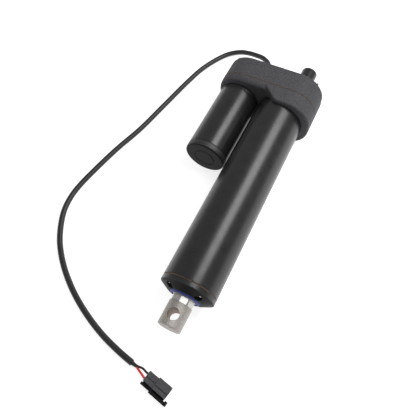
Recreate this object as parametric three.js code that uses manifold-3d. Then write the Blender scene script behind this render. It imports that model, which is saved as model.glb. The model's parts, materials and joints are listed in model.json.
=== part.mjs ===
import * as THREE from 'three';
import { mergeVertices } from 'three/addons/utils/BufferGeometryUtils.js';
import Module from 'manifold-3d';

const wasm = await Module();
wasm.setup();

// All lengths are in millimetres. While the part is laid out, x = 0 is the axis of the drive tube,
// y = 0 is the rear face of the gearbox, the rod points towards -y and z = 0 is the floor.

// ---- driving dimensions -------------------------------------------------------------------------
const GAP = 0.3;
const AXIS_HEIGHT = 46;
const MOTOR_X = -74;

// gearbox outline
const BOX_LEFT = -110.5;
const BOX_RIGHT = 50;
const BOX_HALF_HEIGHT = AXIS_HEIGHT;
const BOX_CORNER = 40;
const CORNER_STEPS = 7;
const BOX_WALL = 5;

// gearbox stations along y
const COVER_FRONT = -37.1;
const GASKET_BACK = -37.4;
const GASKET_THICK = 0.6;
const HOUSING_BACK = -38.3;
const PLATE_BACK = -41.5;
const PLATE_FRONT = -52;
const MOTOR_SIDE_FRONT = -48.5;
const MOTOR_SIDE_INSET = 3.5;
const TUBE_SIDE_FRONT = -65;
const FLANK_START_X = -42;
const FLANK_END_X = -6;
const FLANK_STEPS = 8;
const EDGE_ROUND = 2.2;
const MOTOR_SEAT = -45;

// drive tube and front cap
const TUBE_R = 39;
const TUBE_BORE_R = 36;
const TUBE_BACK = PLATE_FRONT - GAP;
const TUBE_FRONT = -364.6;
const PORT_OFFSET = 20.15;
const PORT_R = 5;
const PORT_HOLE_R = 2.6;
const CAP_BACK = -366;
const CAP_CONE_BACK = -372;
const CAP_FRONT = -379;
const CAP_HUB_R = 25.5;
const SPIGOT_R = 22.6;
const SPIGOT_BACK = -336;
const POCKET_R = 5.2;
const POCKET_FLOOR = -370.5;
const CAP_SCREW_HEAD = 4;
const SEAL_R = 21.8;

// rod and lead screw
const ROD_R = 16;
const ROD_BORE_R = 12.5;
const ROD_BACK = -92.3;
const ROD_FRONT = -381;
const ROD_END_TIP = -422.5;
const SPANNER_FLATS = 8;
const FLAT_ACROSS = 30;
const NECK_R = 15.7;
const FLATS_TURN = THREE.MathUtils.degToRad(75.5);
const FLATS_FRONT = -389.6;
const EYE_Y = -406.2;
const EYE_R = 8;
const SCREW_R = 8;
const SCREW_JOURNAL_R = 6;
const SCREW_BACK = -7;
const SCREW_FRONT = -343;
const NUT_BACK = -62;
const NUT_FRONT = -92;

// gears: tooth counts and module
const GEAR_MODULE = 1.5;
const PRESSURE_ANGLE = THREE.MathUtils.degToRad(25);
const GEAR_BACKLASH = 0.16;
const PINION_TEETH = 12;
const WHEEL_TEETH = 34;
const IDLER_PINION_TEETH = 12;
const SCREW_GEAR_TEETH = 42;
const WHEEL_BACK = -29.5;
const WHEEL_WIDTH = 7;
const SCREW_GEAR_BACK = -15.5;
const SCREW_GEAR_WIDTH = 12;
const GEAR_SHAFT_R = 4;

// motor
const MOTOR_R = 32;
const MOTOR_BORE_R = 29.5;
const MOTOR_BACK = MOTOR_SEAT - GAP;
const CAN_FRONT = -166;
const MOTOR_TIP = -176;
const MOTOR_FIT_R = 29.2;
const BEARING_R = 9;
const ARMATURE_R = 23.5;
const MAGNET_R = 24.2;
const ARMATURE_SLOTS = 12;

// cable and plug
const CABLE_R = 4.3;
const CORE_R = 2.8;
const WIRE_R = 1.5;
const GLAND_X = -56;
const GLAND_Z = 36;
const FLOOR_LINE = CABLE_R + 0.1;
const PLUG_X = -4.6;
const PLUG_Y = -480.3;
const PLUG_ANGLE = THREE.MathUtils.degToRad(-11.5);

// ---- materials ----------------------------------------------------------------------------------
function surface(color, roughness, metalness) {
  return new THREE.MeshStandardMaterial({ color, roughness, metalness });
}
const CASTING = surface(0x2b2b2d, 0.6, 0.3);
const BLACK_PAINT = surface(0x141415, 0.35, 0.4);
const BLACK_PLASTIC = surface(0x18181a, 0.55, 0);
const BLACK_RUBBER = surface(0x202022, 0.7, 0);
const RED_RUBBER = surface(0xb01818, 0.5, 0);
const BLUE_RUBBER = surface(0x3a50b4, 0.5, 0);
const GASKET_PAPER = surface(0x6b5443, 0.85, 0);
const STAINLESS = surface(0xc9c8c4, 0.3, 1);
const STEEL = surface(0x9a9b9d, 0.35, 1);
const BRONZE = surface(0xa87a3e, 0.4, 1);
const COPPER = surface(0xb36b3f, 0.35, 1);
const WHITE_PLASTIC = surface(0xd8d6cc, 0.5, 0);
const FERRITE = surface(0x39383a, 0.7, 0.1);
const CARBON = surface(0x2d2c2b, 0.8, 0.1);
const BOARD_GREEN = surface(0x1d5a38, 0.5, 0);

// ---- geometry helpers ---------------------------------------------------------------------------
const part = new THREE.Group();

// A closed shell with shared corners and its faces pointing outwards.
function closed(geometry) {
  geometry.deleteAttribute('normal');
  geometry.deleteAttribute('uv');
  const solid = mergeVertices(geometry, 1e-4);
  const p = solid.getAttribute('position');
  const index = solid.index.array;
  const [a, b, c] = [new THREE.Vector3(), new THREE.Vector3(), new THREE.Vector3()];
  let volume = 0;
  for (let i = 0; i < index.length; i += 3) {
    a.fromBufferAttribute(p, index[i]);
    b.fromBufferAttribute(p, index[i + 1]);
    c.fromBufferAttribute(p, index[i + 2]);
    volume += a.dot(b.cross(c));
  }
  if (volume < 0) {
    for (let i = 0; i < index.length; i += 3) {
      [index[i], index[i + 1]] = [index[i + 1], index[i]];
    }
  }
  return solid;
}

function toManifold(geometry) {
  const solid = closed(geometry);
  const vertProperties = new Float32Array(solid.getAttribute('position').array);
  const triVerts = new Uint32Array(solid.index.array);
  return new wasm.Manifold(new wasm.Mesh({ numProp: 3, vertProperties, triVerts }));
}

function fromManifold(body) {
  const mesh = body.getMesh();
  const geometry = new THREE.BufferGeometry();
  geometry.setAttribute('position', new THREE.BufferAttribute(mesh.vertProperties, 3));
  geometry.setIndex(new THREE.BufferAttribute(mesh.triVerts, 1));
  return geometry;
}

function cut(geometry, ...tools) {
  let body = toManifold(geometry);
  for (const tool of tools) {
    body = body.subtract(toManifold(tool));
  }
  return fromManifold(body);
}

function join(geometry, ...others) {
  let body = toManifold(geometry);
  for (const other of others) {
    body = body.add(toManifold(other));
  }
  return fromManifold(body);
}

function common(geometry, other) {
  return fromManifold(toManifold(geometry).intersect(toManifold(other)));
}

function add(name, geometry, material) {
  const mesh = new THREE.Mesh(closed(geometry), material);
  mesh.name = name;
  part.add(mesh);
}

// A flat outline in (x, z), drawn out from the station yBack towards -y.
function prism(shape, yBack, length) {
  const geometry = new THREE.ExtrudeGeometry(shape, { depth: length, bevelEnabled: false });
  geometry.rotateX(Math.PI / 2);
  return geometry.translate(0, yBack, 0);
}

function polygon(points) {
  return new THREE.Shape(points);
}

// A circle about (x, z) as a regular polygon.
function circle(radius, segments, x, z) {
  const points = [];
  for (let i = 0; i < segments; i += 1) {
    const angle = 2 * Math.PI * i / segments;
    points.push(new THREE.Vector2(x + radius * Math.cos(angle), z + radius * Math.sin(angle)));
  }
  return polygon(points);
}

function rod(radius, segments, x, z, yBack, length) {
  return prism(circle(radius, segments, x, z), yBack, length);
}

// A body turned about an axis along y at (x, z), from [radius, y] corners.
function turned(profile, segments, x, z) {
  const corners = profile.map(([radius, y]) => new THREE.Vector2(radius, y));
  corners.push(corners[0].clone());
  return new THREE.LatheGeometry(corners, segments).translate(x, 0, z);
}

// The same for an outline that starts and ends on the axis.
function spun(profile, segments, x, z) {
  const corners = profile.map(([radius, y]) => new THREE.Vector2(radius, y));
  return new THREE.LatheGeometry(corners, segments).translate(x, 0, z);
}

function ring(outer, inner, segments, x, z, yBack, length) {
  const yFront = yBack - length;
  const profile = [[inner, yBack], [outer, yBack], [outer, yFront], [inner, yFront]];
  return turned(profile, segments, x, z);
}

function block(xLow, xHigh, yLow, yHigh, zLow, zHigh) {
  const geometry = new THREE.BoxGeometry(xHigh - xLow, yHigh - yLow, zHigh - zLow);
  return geometry.translate((xLow + xHigh) / 2, (yLow + yHigh) / 2, (zLow + zHigh) / 2);
}

// ---- gearbox outline ----------------------------------------------------------------------------
// The rounded rectangle of the gearbox, moved inwards by inset.
function boxOutline(inset) {
  const radius = BOX_CORNER - inset;
  const centreX = [BOX_RIGHT - BOX_CORNER, BOX_LEFT + BOX_CORNER];
  const centreZ = BOX_HALF_HEIGHT - BOX_CORNER;
  const corners = [
    [centreX[0], AXIS_HEIGHT + centreZ],
    [centreX[1], AXIS_HEIGHT + centreZ],
    [centreX[1], AXIS_HEIGHT - centreZ],
    [centreX[0], AXIS_HEIGHT - centreZ],
  ];
  const points = [];
  corners.forEach(([x, z], quarter) => {
    for (let i = 0; i <= CORNER_STEPS; i += 1) {
      const angle = Math.PI / 2 * (quarter + i / CORNER_STEPS);
      points.push(new THREE.Vector2(x + radius * Math.cos(angle), z + radius * Math.sin(angle)));
    }
  });
  return points;
}

// A body with the gearbox outline whose inset changes from station to station: [inset, y] pairs.
function boxLoft(stations) {
  const rings = stations.map(([inset, y]) => boxOutline(inset).map((p) => [p.x, y, p.y]));
  const count = rings[0].length;
  const centre = [(BOX_LEFT + BOX_RIGHT) / 2, AXIS_HEIGHT];
  const vertices = rings.flat();
  const index = [];
  for (let s = 0; s + 1 < rings.length; s += 1) {
    for (let i = 0; i < count; i += 1) {
      const a = s * count + i;
      const b = s * count + (i + 1) % count;
      index.push(a, b, a + count, b, b + count, a + count);
    }
  }
  const backCentre = vertices.push([centre[0], stations[0][1], centre[1]]) - 1;
  const frontCentre = vertices.push([centre[0], stations.at(-1)[1], centre[1]]) - 1;
  const last = (rings.length - 1) * count;
  for (let i = 0; i < count; i += 1) {
    const next = (i + 1) % count;
    index.push(backCentre, next, i);
    index.push(frontCentre, last + i, last + next);
  }
  const geometry = new THREE.BufferGeometry();
  geometry.setAttribute('position', new THREE.Float32BufferAttribute(vertices.flat(), 3));
  geometry.setIndex(index);
  return geometry;
}

// Cover screws: one near each corner of the outline, and one above and one below the gears.
const COVER_SCREW_R = 2;
const COVER_SCREW_INSET = 5;
const COVER_BOSS_R = 5.5;
const MIDDLE_SCREW_X = -20;
const MIDDLE_SCREW_INSET = 9.6;
function coverScrewCentres() {
  const reach = (BOX_CORNER - COVER_SCREW_INSET) * Math.SQRT1_2;
  const right = BOX_RIGHT - BOX_CORNER + reach;
  const left = BOX_LEFT + BOX_CORNER - reach;
  const rise = BOX_HALF_HEIGHT - BOX_CORNER + reach;
  const middle = BOX_HALF_HEIGHT - MIDDLE_SCREW_INSET;
  const centres = [[right, rise], [left, rise], [left, -rise], [right, -rise]];
  centres.push([MIDDLE_SCREW_X, middle], [MIDDLE_SCREW_X, -middle]);
  return centres.map(([x, z]) => [x, AXIS_HEIGHT + z]);
}
const COVER_SCREWS = coverScrewCentres();

// The hollow for the gears: the outline moved in by the wall, less the screw bosses.
function gearHollow(yBack, length) {
  const hollow = prism(polygon(boxOutline(BOX_WALL)), yBack, length);
  const bosses = COVER_SCREWS.map(([x, z]) => rod(COVER_BOSS_R, 8, x, z, yBack + 1, length + 2));
  return cut(hollow, ...bosses);
}

function coverScrewHoles(radius, yBack, length) {
  return COVER_SCREWS.map(([x, z]) => rod(radius, 8, x, z, yBack, length));
}

// ---- gear train layout --------------------------------------------------------------------------
const STAGE_1 = GEAR_MODULE * (PINION_TEETH + WHEEL_TEETH) / 2;
const STAGE_2 = GEAR_MODULE * (IDLER_PINION_TEETH + SCREW_GEAR_TEETH) / 2;
const IDLER_RUN = (STAGE_1 ** 2 - STAGE_2 ** 2 + MOTOR_X ** 2) / (2 * -MOTOR_X);
const IDLER_X = MOTOR_X + IDLER_RUN;
const IDLER_Z = AXIS_HEIGHT + Math.sqrt(STAGE_1 ** 2 - IDLER_RUN ** 2);

// An involute spur gear outline with one tooth centred on the angle toothAngle.
function gearShape(teeth, toothAngle, x, z) {
  const pitch = GEAR_MODULE * teeth / 2;
  const base = pitch * Math.cos(PRESSURE_ANGLE);
  const involute = (angle) => Math.tan(angle) - angle;
  const halfAtPitch = Math.PI / (2 * teeth) - GEAR_BACKLASH / (2 * pitch);
  const halfTooth = (radius) => {
    const pressure = radius > base ? Math.acos(base / radius) : 0;
    return halfAtPitch + involute(PRESSURE_ANGLE) - involute(pressure);
  };
  const radii = [pitch - 1.25 * GEAR_MODULE, pitch + GEAR_MODULE];
  const points = [];
  for (let tooth = 0; tooth < teeth; tooth += 1) {
    const centre = toothAngle + 2 * Math.PI * tooth / teeth;
    const flank = radii.map((radius) => [radius, -halfTooth(radius)]);
    const back = radii.map((radius) => [radius, halfTooth(radius)]).reverse();
    for (const [radius, offset] of [...flank, ...back]) {
      const angle = centre + offset;
      points.push(new THREE.Vector2(x + radius * Math.cos(angle), z + radius * Math.sin(angle)));
    }
  }
  return polygon(points);
}

// ---- gearbox ------------------------------------------------------------------------------------
const BOSS_BACK = -BOX_WALL;
const SCREW_BUSH_R = 10;
const IDLER_PIN_HOLE_R = GEAR_SHAFT_R + GAP;

function buildRearCover() {
  const shell = boxLoft([[EDGE_ROUND, 0], [0, -EDGE_ROUND], [0, COVER_FRONT]]);
  const hollowed = cut(shell, gearHollow(-BOX_WALL, 40));
  const bosses = join(
    hollowed,
    rod(SCREW_BUSH_R + 4, 16, 0, AXIS_HEIGHT, BOSS_BACK + 1, 9),
    rod(GEAR_SHAFT_R + 4, 10, IDLER_X, IDLER_Z, BOSS_BACK + 1, 8),
  );
  return cut(
    bosses,
    ...coverScrewHoles(COVER_SCREW_R + GAP, 1, 40),
    rod(SCREW_BUSH_R + GAP, 20, 0, AXIS_HEIGHT, -6, 8),
    rod(IDLER_PIN_HOLE_R, 10, IDLER_X, IDLER_Z, -6, 8),
    rod(CABLE_R + 1, 10, GLAND_X, GLAND_Z, 1, 8),
  );
}
add('rear_cover', buildRearCover(), CASTING);

function buildHousingGasket() {
  const sheet = prism(polygon(boxOutline(0.3)), GASKET_BACK, GASKET_THICK);
  const opening = gearHollow(GASKET_BACK + 1, GASKET_THICK + 2);
  return cut(sheet, opening, ...coverScrewHoles(COVER_SCREW_R + GAP, GASKET_BACK + 1, 3));
}
add('housing_gasket', buildHousingGasket(), GASKET_PAPER);

// The deep half around the drive tube: its left flank runs down in a shallow S.
function tubeSideBlock() {
  const deep = boxLoft([
    [0, HOUSING_BACK],
    [0, TUBE_SIDE_FRONT + EDGE_ROUND],
    [EDGE_ROUND, TUBE_SIDE_FRONT],
  ]);
  const flankStart = new THREE.Vector2(FLANK_START_X, HOUSING_BACK);
  const flankEnd = new THREE.Vector2(FLANK_END_X, TUBE_SIDE_FRONT);
  const plan = [];
  for (let i = 0; i <= FLANK_STEPS; i += 1) {
    const t = i / FLANK_STEPS;
    const x = THREE.MathUtils.lerp(flankStart.x, flankEnd.x, t);
    const y = THREE.MathUtils.lerp(flankStart.y, flankEnd.y, THREE.MathUtils.smoothstep(t, 0, 1));
    plan.push(new THREE.Vector2(x, y));
  }
  const [xPast, yPast, yBehind] = [BOX_RIGHT + 10, TUBE_SIDE_FRONT - 4, HOUSING_BACK + 4];
  plan.push(new THREE.Vector2(FLANK_END_X, yPast), new THREE.Vector2(xPast, yPast));
  plan.push(new THREE.Vector2(xPast, yBehind), new THREE.Vector2(FLANK_START_X, yBehind));
  const tallPlan = new THREE.ExtrudeGeometry(polygon(plan), { depth: 110, bevelEnabled: false });
  return common(deep, tallPlan.translate(0, 0, -4));
}

const TUBE_SCREWS = [[1, 1], [-1, 1], [-1, -1], [1, -1]];
const MOTOR_SCREW_OFFSET = 20;
const MOTOR_SCREW_R = 2;
const SCREW_BEARING_R = 21;
const HUB_BACK = PLATE_BACK + 1.7;
const BEARING_BACK = HUB_BACK - GAP;
const BEARING_WIDTH = 7.8;

function buildFrontHousing() {
  const motorSide = boxLoft([[0, HOUSING_BACK], [MOTOR_SIDE_INSET, MOTOR_SIDE_FRONT]]);
  const casting = join(motorSide, tubeSideBlock());
  const open = cut(casting, gearHollow(HOUSING_BACK + 1, HOUSING_BACK + 1 - PLATE_BACK));
  const hub = rod(SCREW_BEARING_R + 3.5, 24, 0, AXIS_HEIGHT, HUB_BACK, 4);
  return cut(
    join(open, hub),
    rod(TUBE_R + GAP, 40, 0, AXIS_HEIGHT, PLATE_FRONT, 20),
    rod(SCREW_BEARING_R + GAP, 24, 0, AXIS_HEIGHT, HUB_BACK + 1, 9.3),
    rod(SCREW_BEARING_R - 3, 24, 0, AXIS_HEIGHT, HUB_BACK, 20),
    rod(MOTOR_R + GAP, 36, MOTOR_X, AXIS_HEIGHT, MOTOR_SEAT, 20),
    rod(10, 12, MOTOR_X, AXIS_HEIGHT, PLATE_BACK + 1, 20),
    rod(IDLER_PIN_HOLE_R, 10, IDLER_X, IDLER_Z, PLATE_BACK + 1, 3.8),
    ...[-1, 1].map((side) => rod(
      MOTOR_SCREW_R + GAP, 8, MOTOR_X, AXIS_HEIGHT + side * MOTOR_SCREW_OFFSET, PLATE_BACK + 1, 20,
    )),
    ...coverScrewHoles(COVER_SCREW_R + GAP, HOUSING_BACK + 1, 7),
  );
}
add('front_housing', buildFrontHousing(), CASTING);

// A pan-head screw along -y: the head stands on the station yHead, the shank ends at yTip.
function panScrew(x, z, yHead, yTip, headR, shankR, headHeight) {
  const top = yHead + headHeight;
  const profile = [
    [0, top], [headR * 0.6, top], [headR * 0.92, top - headHeight * 0.3],
    [headR, yHead + headHeight * 0.25], [headR, yHead], [shankR, yHead], [shankR, yTip], [0, yTip],
  ];
  return spun(profile, 10, x, z);
}
const COVER_SCREW_TIP = HOUSING_BACK - 3.5;
COVER_SCREWS.forEach(([x, z], i) => {
  const screw = panScrew(x, z, GAP, COVER_SCREW_TIP, 4.4, COVER_SCREW_R, 3.6);
  add(`cover_screw_${i + 1}`, screw, STAINLESS);
});

// Rear lug: a stub with a flange and a vertical cross hole, a little to the right of the drive axis.
const LUG_X = 11;
const LUG_R = 13;
const LUG_TIP = 49;
const LUG_HOLE_Y = 26;
const LUG_HOLE_R = 4.2;
function buildRearLug() {
  const profile = [
    [0, GAP], [16, GAP], [16, 3], [14.5, 4.2], [LUG_R, 4.2],
    [LUG_R, LUG_TIP - 1.5], [LUG_R - 1.5, LUG_TIP], [0, LUG_TIP],
  ];
  const stub = spun(profile, 24, LUG_X, AXIS_HEIGHT);
  const hole = new THREE.CylinderGeometry(LUG_HOLE_R, LUG_HOLE_R, 40, 16)
    .rotateX(Math.PI / 2).translate(LUG_X, LUG_HOLE_Y, AXIS_HEIGHT);
  return cut(stub, hole);
}
add('rear_lug', buildRearLug(), BLACK_PAINT);

// Cable gland: a nut with a tapered neck and a bore for the cable.
function buildGland() {
  const bore = CABLE_R + 2 * GAP;
  const profile = [
    [bore, GAP], [10, GAP], [10, 6], [8.6, 7.5], [7.6, 8], [5.8, 17], [bore, 17],
  ];
  return turned(profile, 12, GLAND_X, GLAND_Z);
}
add('cable_gland', buildGland(), BLACK_PLASTIC);

// ---- drive tube and front cap -------------------------------------------------------------------
function ports(radius, yBack, length, segments) {
  return TUBE_SCREWS.map(([sx, sz]) => rod(
    radius, segments, sx * PORT_OFFSET, AXIS_HEIGHT + sz * PORT_OFFSET, yBack, length,
  ));
}

function buildOuterTube() {
  const length = TUBE_BACK - TUBE_FRONT;
  const bore = cut(
    rod(TUBE_BORE_R, 40, 0, AXIS_HEIGHT, TUBE_BACK + 1, length + 2),
    ...ports(PORT_R, TUBE_BACK + 2, length + 4, 10),
    ...TUBE_SCREWS.map(([sx, sz]) => portWeb(sx, sz, length)),
  );
  return cut(
    rod(TUBE_R, 40, 0, AXIS_HEIGHT, TUBE_BACK, length),
    bore,
    ...ports(PORT_HOLE_R, TUBE_BACK + 1, length + 2, 6),
  );
}

// The web that joins a screw port to the tube wall.
function portWeb(sx, sz, length) {
  const web = block(-PORT_R * 0.8, PORT_R * 0.8, TUBE_FRONT - 2, TUBE_BACK + 2, 0, 12);
  const angle = Math.atan2(sz, sx);
  web.rotateY(-(angle - Math.PI / 2));
  return web.translate(sx * PORT_OFFSET, 0, AXIS_HEIGHT + sz * PORT_OFFSET);
}
add('outer_tube', buildOuterTube(), BLACK_PAINT);

function buildCapGasket() {
  const sheet = ring(TUBE_R - 0.2, SPIGOT_R + 0.4, 36, 0, AXIS_HEIGHT, TUBE_FRONT - GAP, 0.8);
  return cut(sheet, ...ports(PORT_HOLE_R + 0.2, TUBE_FRONT + 1, 3, 6));
}
add('cap_gasket', buildCapGasket(), GASKET_PAPER);

const BUSH_R = 19;
function buildFrontCap() {
  const profile = [
    [BUSH_R + GAP, SPIGOT_BACK], [SPIGOT_R, SPIGOT_BACK], [SPIGOT_R, CAP_BACK],
    [TUBE_R, CAP_BACK], [TUBE_R, CAP_CONE_BACK], [CAP_HUB_R, CAP_FRONT],
    [SEAL_R + GAP, CAP_FRONT], [SEAL_R + GAP, CAP_FRONT + 4.3], [BUSH_R + GAP, CAP_FRONT + 4.3],
  ];
  return cut(
    turned(profile, 40, 0, AXIS_HEIGHT),
    ...ports(POCKET_R, POCKET_FLOOR, 10, 12),
    ...ports(PORT_HOLE_R + 0.2, CAP_BACK + 1, 20, 6),
  );
}
add('front_cap', buildFrontCap(), BLACK_PAINT);

const CAP_SCREW_TIP = -352;
TUBE_SCREWS.forEach(([sx, sz], i) => {
  const [x, z] = [sx * PORT_OFFSET, AXIS_HEIGHT + sz * PORT_OFFSET];
  const seat = POCKET_FLOOR - GAP;
  const top = seat - CAP_SCREW_HEAD;
  const profile = [
    [0, top], [2.6, top], [3.4, top + 0.8], [3.4, seat],
    [2.1, seat], [2.1, CAP_SCREW_TIP], [0, CAP_SCREW_TIP],
  ];
  add(`cap_screw_${i + 1}`, spun(profile, 10, x, z), STAINLESS);
});

// Wiper seal: a ring with a lip that stands just proud of the cap.
const sealBore = ROD_R + 0.35;
add('wiper_seal', turned([
  [sealBore + 1.5, CAP_FRONT + 4], [SEAL_R, CAP_FRONT + 4], [SEAL_R, CAP_FRONT - 0.6],
  [SEAL_R - 1, CAP_FRONT - 1.2], [sealBore, CAP_FRONT - 1.2], [sealBore, CAP_FRONT + 1.5],
], 32, 0, AXIS_HEIGHT), BLUE_RUBBER);
add('rod_bush', ring(BUSH_R, ROD_R + GAP, 24, 0, AXIS_HEIGHT, -337, 33), BRONZE);

// ---- rod ----------------------------------------------------------------------------------------
const ROD_TUBE_LENGTH = ROD_BACK - ROD_FRONT;
add('rod_tube', ring(ROD_R, ROD_BORE_R, 32, 0, AXIS_HEIGHT, ROD_BACK, ROD_TUBE_LENGTH), STAINLESS);

const ROD_SPIGOT_BACK = -350;

// The round neck of the rod end with its spanner flats.
function neckOutline() {
  const half = Math.acos(FLAT_ACROSS / 2 / NECK_R);
  const pitch = 2 * Math.PI / SPANNER_FLATS;
  const points = [];
  for (let i = 0; i < SPANNER_FLATS; i += 1) {
    const middle = FLATS_TURN + i * pitch;
    for (const angle of [middle - half, middle + half, middle + pitch / 2]) {
      const [x, z] = [NECK_R * Math.cos(angle), AXIS_HEIGHT + NECK_R * Math.sin(angle)];
      points.push(new THREE.Vector2(x, z));
    }
  }
  return points;
}

// Rod end: a spigot inside the rod, eight flats for a spanner and a round eye with a cross hole.
function buildRodEnd() {
  const eye = spun([
    [0, FLATS_FRONT], [ROD_R - 0.2, FLATS_FRONT], [ROD_R, FLATS_FRONT - 0.4],
    [ROD_R, ROD_END_TIP + 1.2], [ROD_R - 1.2, ROD_END_TIP], [0, ROD_END_TIP],
  ], 32, 0, AXIS_HEIGHT);
  const flatsBack = ROD_FRONT - GAP;
  const flats = prism(polygon(neckOutline()), flatsBack, flatsBack - FLATS_FRONT + 1);
  const spigot = rod(
    ROD_BORE_R - GAP, 20, 0, AXIS_HEIGHT, ROD_SPIGOT_BACK, ROD_SPIGOT_BACK - flatsBack + 4,
  );
  const hole = new THREE.CylinderGeometry(EYE_R, EYE_R, 50, 24).rotateX(Math.PI / 2);
  return cut(
    join(eye, flats, spigot),
    hole.translate(0, EYE_Y, AXIS_HEIGHT),
  );
}
add('rod_end', buildRodEnd(), STAINLESS);

const NUT_R = 12;
add('drive_nut', ring(NUT_R, SCREW_R + GAP, 20, 0, AXIS_HEIGHT, NUT_BACK, NUT_BACK - NUT_FRONT), BRONZE);

// Nut slider: a disc with an upper and a lower shoe that run between the tube's screw ports.
const SLIDER_R = 22.6;
function buildNutSlider() {
  const length = NUT_BACK - NUT_FRONT;
  const disc = rod(SLIDER_R, 24, 0, AXIS_HEIGHT, NUT_BACK, length);
  const shoes = block(-14.5, 14.5, NUT_FRONT, NUT_BACK, AXIS_HEIGHT - 31.8, AXIS_HEIGHT + 31.8);
  const finger = block(20, 25.6, NUT_FRONT + 10, NUT_BACK - 10, AXIS_HEIGHT - 3, AXIS_HEIGHT + 3);
  return cut(
    join(disc, shoes, finger),
    rod(NUT_R + GAP, 20, 0, AXIS_HEIGHT, NUT_BACK + 1, length + 2),
  );
}
add('nut_slider', buildNutSlider(), WHITE_PLASTIC);

// ---- lead screw ---------------------------------------------------------------------------------
// The screw has a rear journal, a seat for the gear and a shoulder against its bearing.
const SCREW_GEAR_BORE_R = 8;
const SEAT_END = BEARING_BACK - BEARING_WIDTH - GAP;
const PILOT_R = 5;
const PILOT_BACK = -334;
add('lead_screw', spun([
  [0, SCREW_BACK], [SCREW_JOURNAL_R, SCREW_BACK], [SCREW_JOURNAL_R, SCREW_GEAR_BACK],
  [SCREW_GEAR_BORE_R - GAP, SCREW_GEAR_BACK], [SCREW_GEAR_BORE_R - GAP, SEAT_END], [SCREW_R, SEAT_END],
  [SCREW_R, PILOT_BACK], [PILOT_R, PILOT_BACK], [PILOT_R, SCREW_FRONT], [0, SCREW_FRONT],
], 20, 0, AXIS_HEIGHT), STEEL);
const SUPPORT_R = ROD_BORE_R - GAP;
add('screw_support', ring(SUPPORT_R, PILOT_R + GAP, 16, 0, AXIS_HEIGHT, PILOT_BACK - 0.4, 8), WHITE_PLASTIC);
add('screw_bush', ring(SCREW_BUSH_R, SCREW_JOURNAL_R + GAP, 16, 0, AXIS_HEIGHT, -6.3, 6), BRONZE);

// Screw bearing: an outer and an inner ring with a thin gap between them.
function bearingRing(outer, inner) {
  return ring(outer, inner, 20, 0, AXIS_HEIGHT, BEARING_BACK, BEARING_WIDTH);
}
add('bearing_outer', bearingRing(SCREW_BEARING_R, 15.2), STEEL);
add('bearing_inner', bearingRing(14.8, SCREW_GEAR_BORE_R), STEEL);
add('screw_clip', ring(9.4, SCREW_JOURNAL_R + GAP, 12, 0, AXIS_HEIGHT, -14.3, 0.9), STEEL);

const STAGE_2_ANGLE = Math.atan2(AXIS_HEIGHT - IDLER_Z, -IDLER_X);
function buildScrewGear() {
  const facing = STAGE_2_ANGLE + Math.PI + Math.PI / SCREW_GEAR_TEETH;
  const toothed = prism(
    gearShape(SCREW_GEAR_TEETH, facing, 0, AXIS_HEIGHT), SCREW_GEAR_BACK, SCREW_GEAR_WIDTH,
  );
  const hubLength = SCREW_GEAR_BACK - BEARING_BACK - GAP;
  const hub = rod(10.8, 16, 0, AXIS_HEIGHT, SCREW_GEAR_BACK, hubLength);
  return cut(join(toothed, hub), rod(SCREW_GEAR_BORE_R, 20, 0, AXIS_HEIGHT, 0, 60));
}
add('screw_gear', buildScrewGear(), STEEL);

// ---- idler --------------------------------------------------------------------------------------
const STAGE_1_ANGLE = Math.atan2(IDLER_Z - AXIS_HEIGHT, IDLER_X - MOTOR_X);
function buildIdlerGear() {
  const facing = STAGE_1_ANGLE + Math.PI + Math.PI / WHEEL_TEETH;
  const wheel = prism(
    gearShape(WHEEL_TEETH, facing, IDLER_X, IDLER_Z), WHEEL_BACK, WHEEL_WIDTH,
  );
  const pinion = prism(
    gearShape(IDLER_PINION_TEETH, STAGE_2_ANGLE, IDLER_X, IDLER_Z), SCREW_GEAR_BACK, 14.5,
  );
  return cut(join(wheel, pinion), rod(GEAR_SHAFT_R + GAP, 12, IDLER_X, IDLER_Z, 0, 60));
}
add('idler_gear', buildIdlerGear(), STEEL);
const IDLER_SHAFT_BACK = -6.3;
const IDLER_SHAFT_LENGTH = IDLER_SHAFT_BACK - PLATE_BACK + 2.5;
add(
  'idler_shaft',
  rod(GEAR_SHAFT_R, 12, IDLER_X, IDLER_Z, IDLER_SHAFT_BACK, IDLER_SHAFT_LENGTH),
  STEEL,
);

// ---- motor --------------------------------------------------------------------------------------
function motorRing(outer, inner, segments, yBack, length) {
  return ring(outer, inner, segments, MOTOR_X, AXIS_HEIGHT, yBack, length);
}

// The motor tube has a rolled collar just in front of the gearbox.
const COLLAR_BACK = MOTOR_SIDE_FRONT - 1;
const COLLAR_RISE = 0.7;
add('motor_can', turned([
  [MOTOR_BORE_R, MOTOR_BACK], [MOTOR_R, MOTOR_BACK], [MOTOR_R, COLLAR_BACK + 0.5],
  [MOTOR_R + COLLAR_RISE, COLLAR_BACK], [MOTOR_R + COLLAR_RISE, COLLAR_BACK - 2.5],
  [MOTOR_R, COLLAR_BACK - 3], [MOTOR_R, CAN_FRONT], [MOTOR_BORE_R, CAN_FRONT],
], 36, MOTOR_X, AXIS_HEIGHT), BLACK_PAINT);

function motorScrewHoles(radius, yBack, length) {
  return [-1, 1].map((side) => rod(
    radius, 8, MOTOR_X, AXIS_HEIGHT + side * MOTOR_SCREW_OFFSET, yBack, length,
  ));
}
add('motor_front_plate', cut(
  motorRing(MOTOR_FIT_R, BEARING_R + GAP, 20, MOTOR_BACK - GAP, 6),
  ...motorScrewHoles(MOTOR_SCREW_R + GAP, MOTOR_BACK + 1, 10),
), STEEL);

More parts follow.
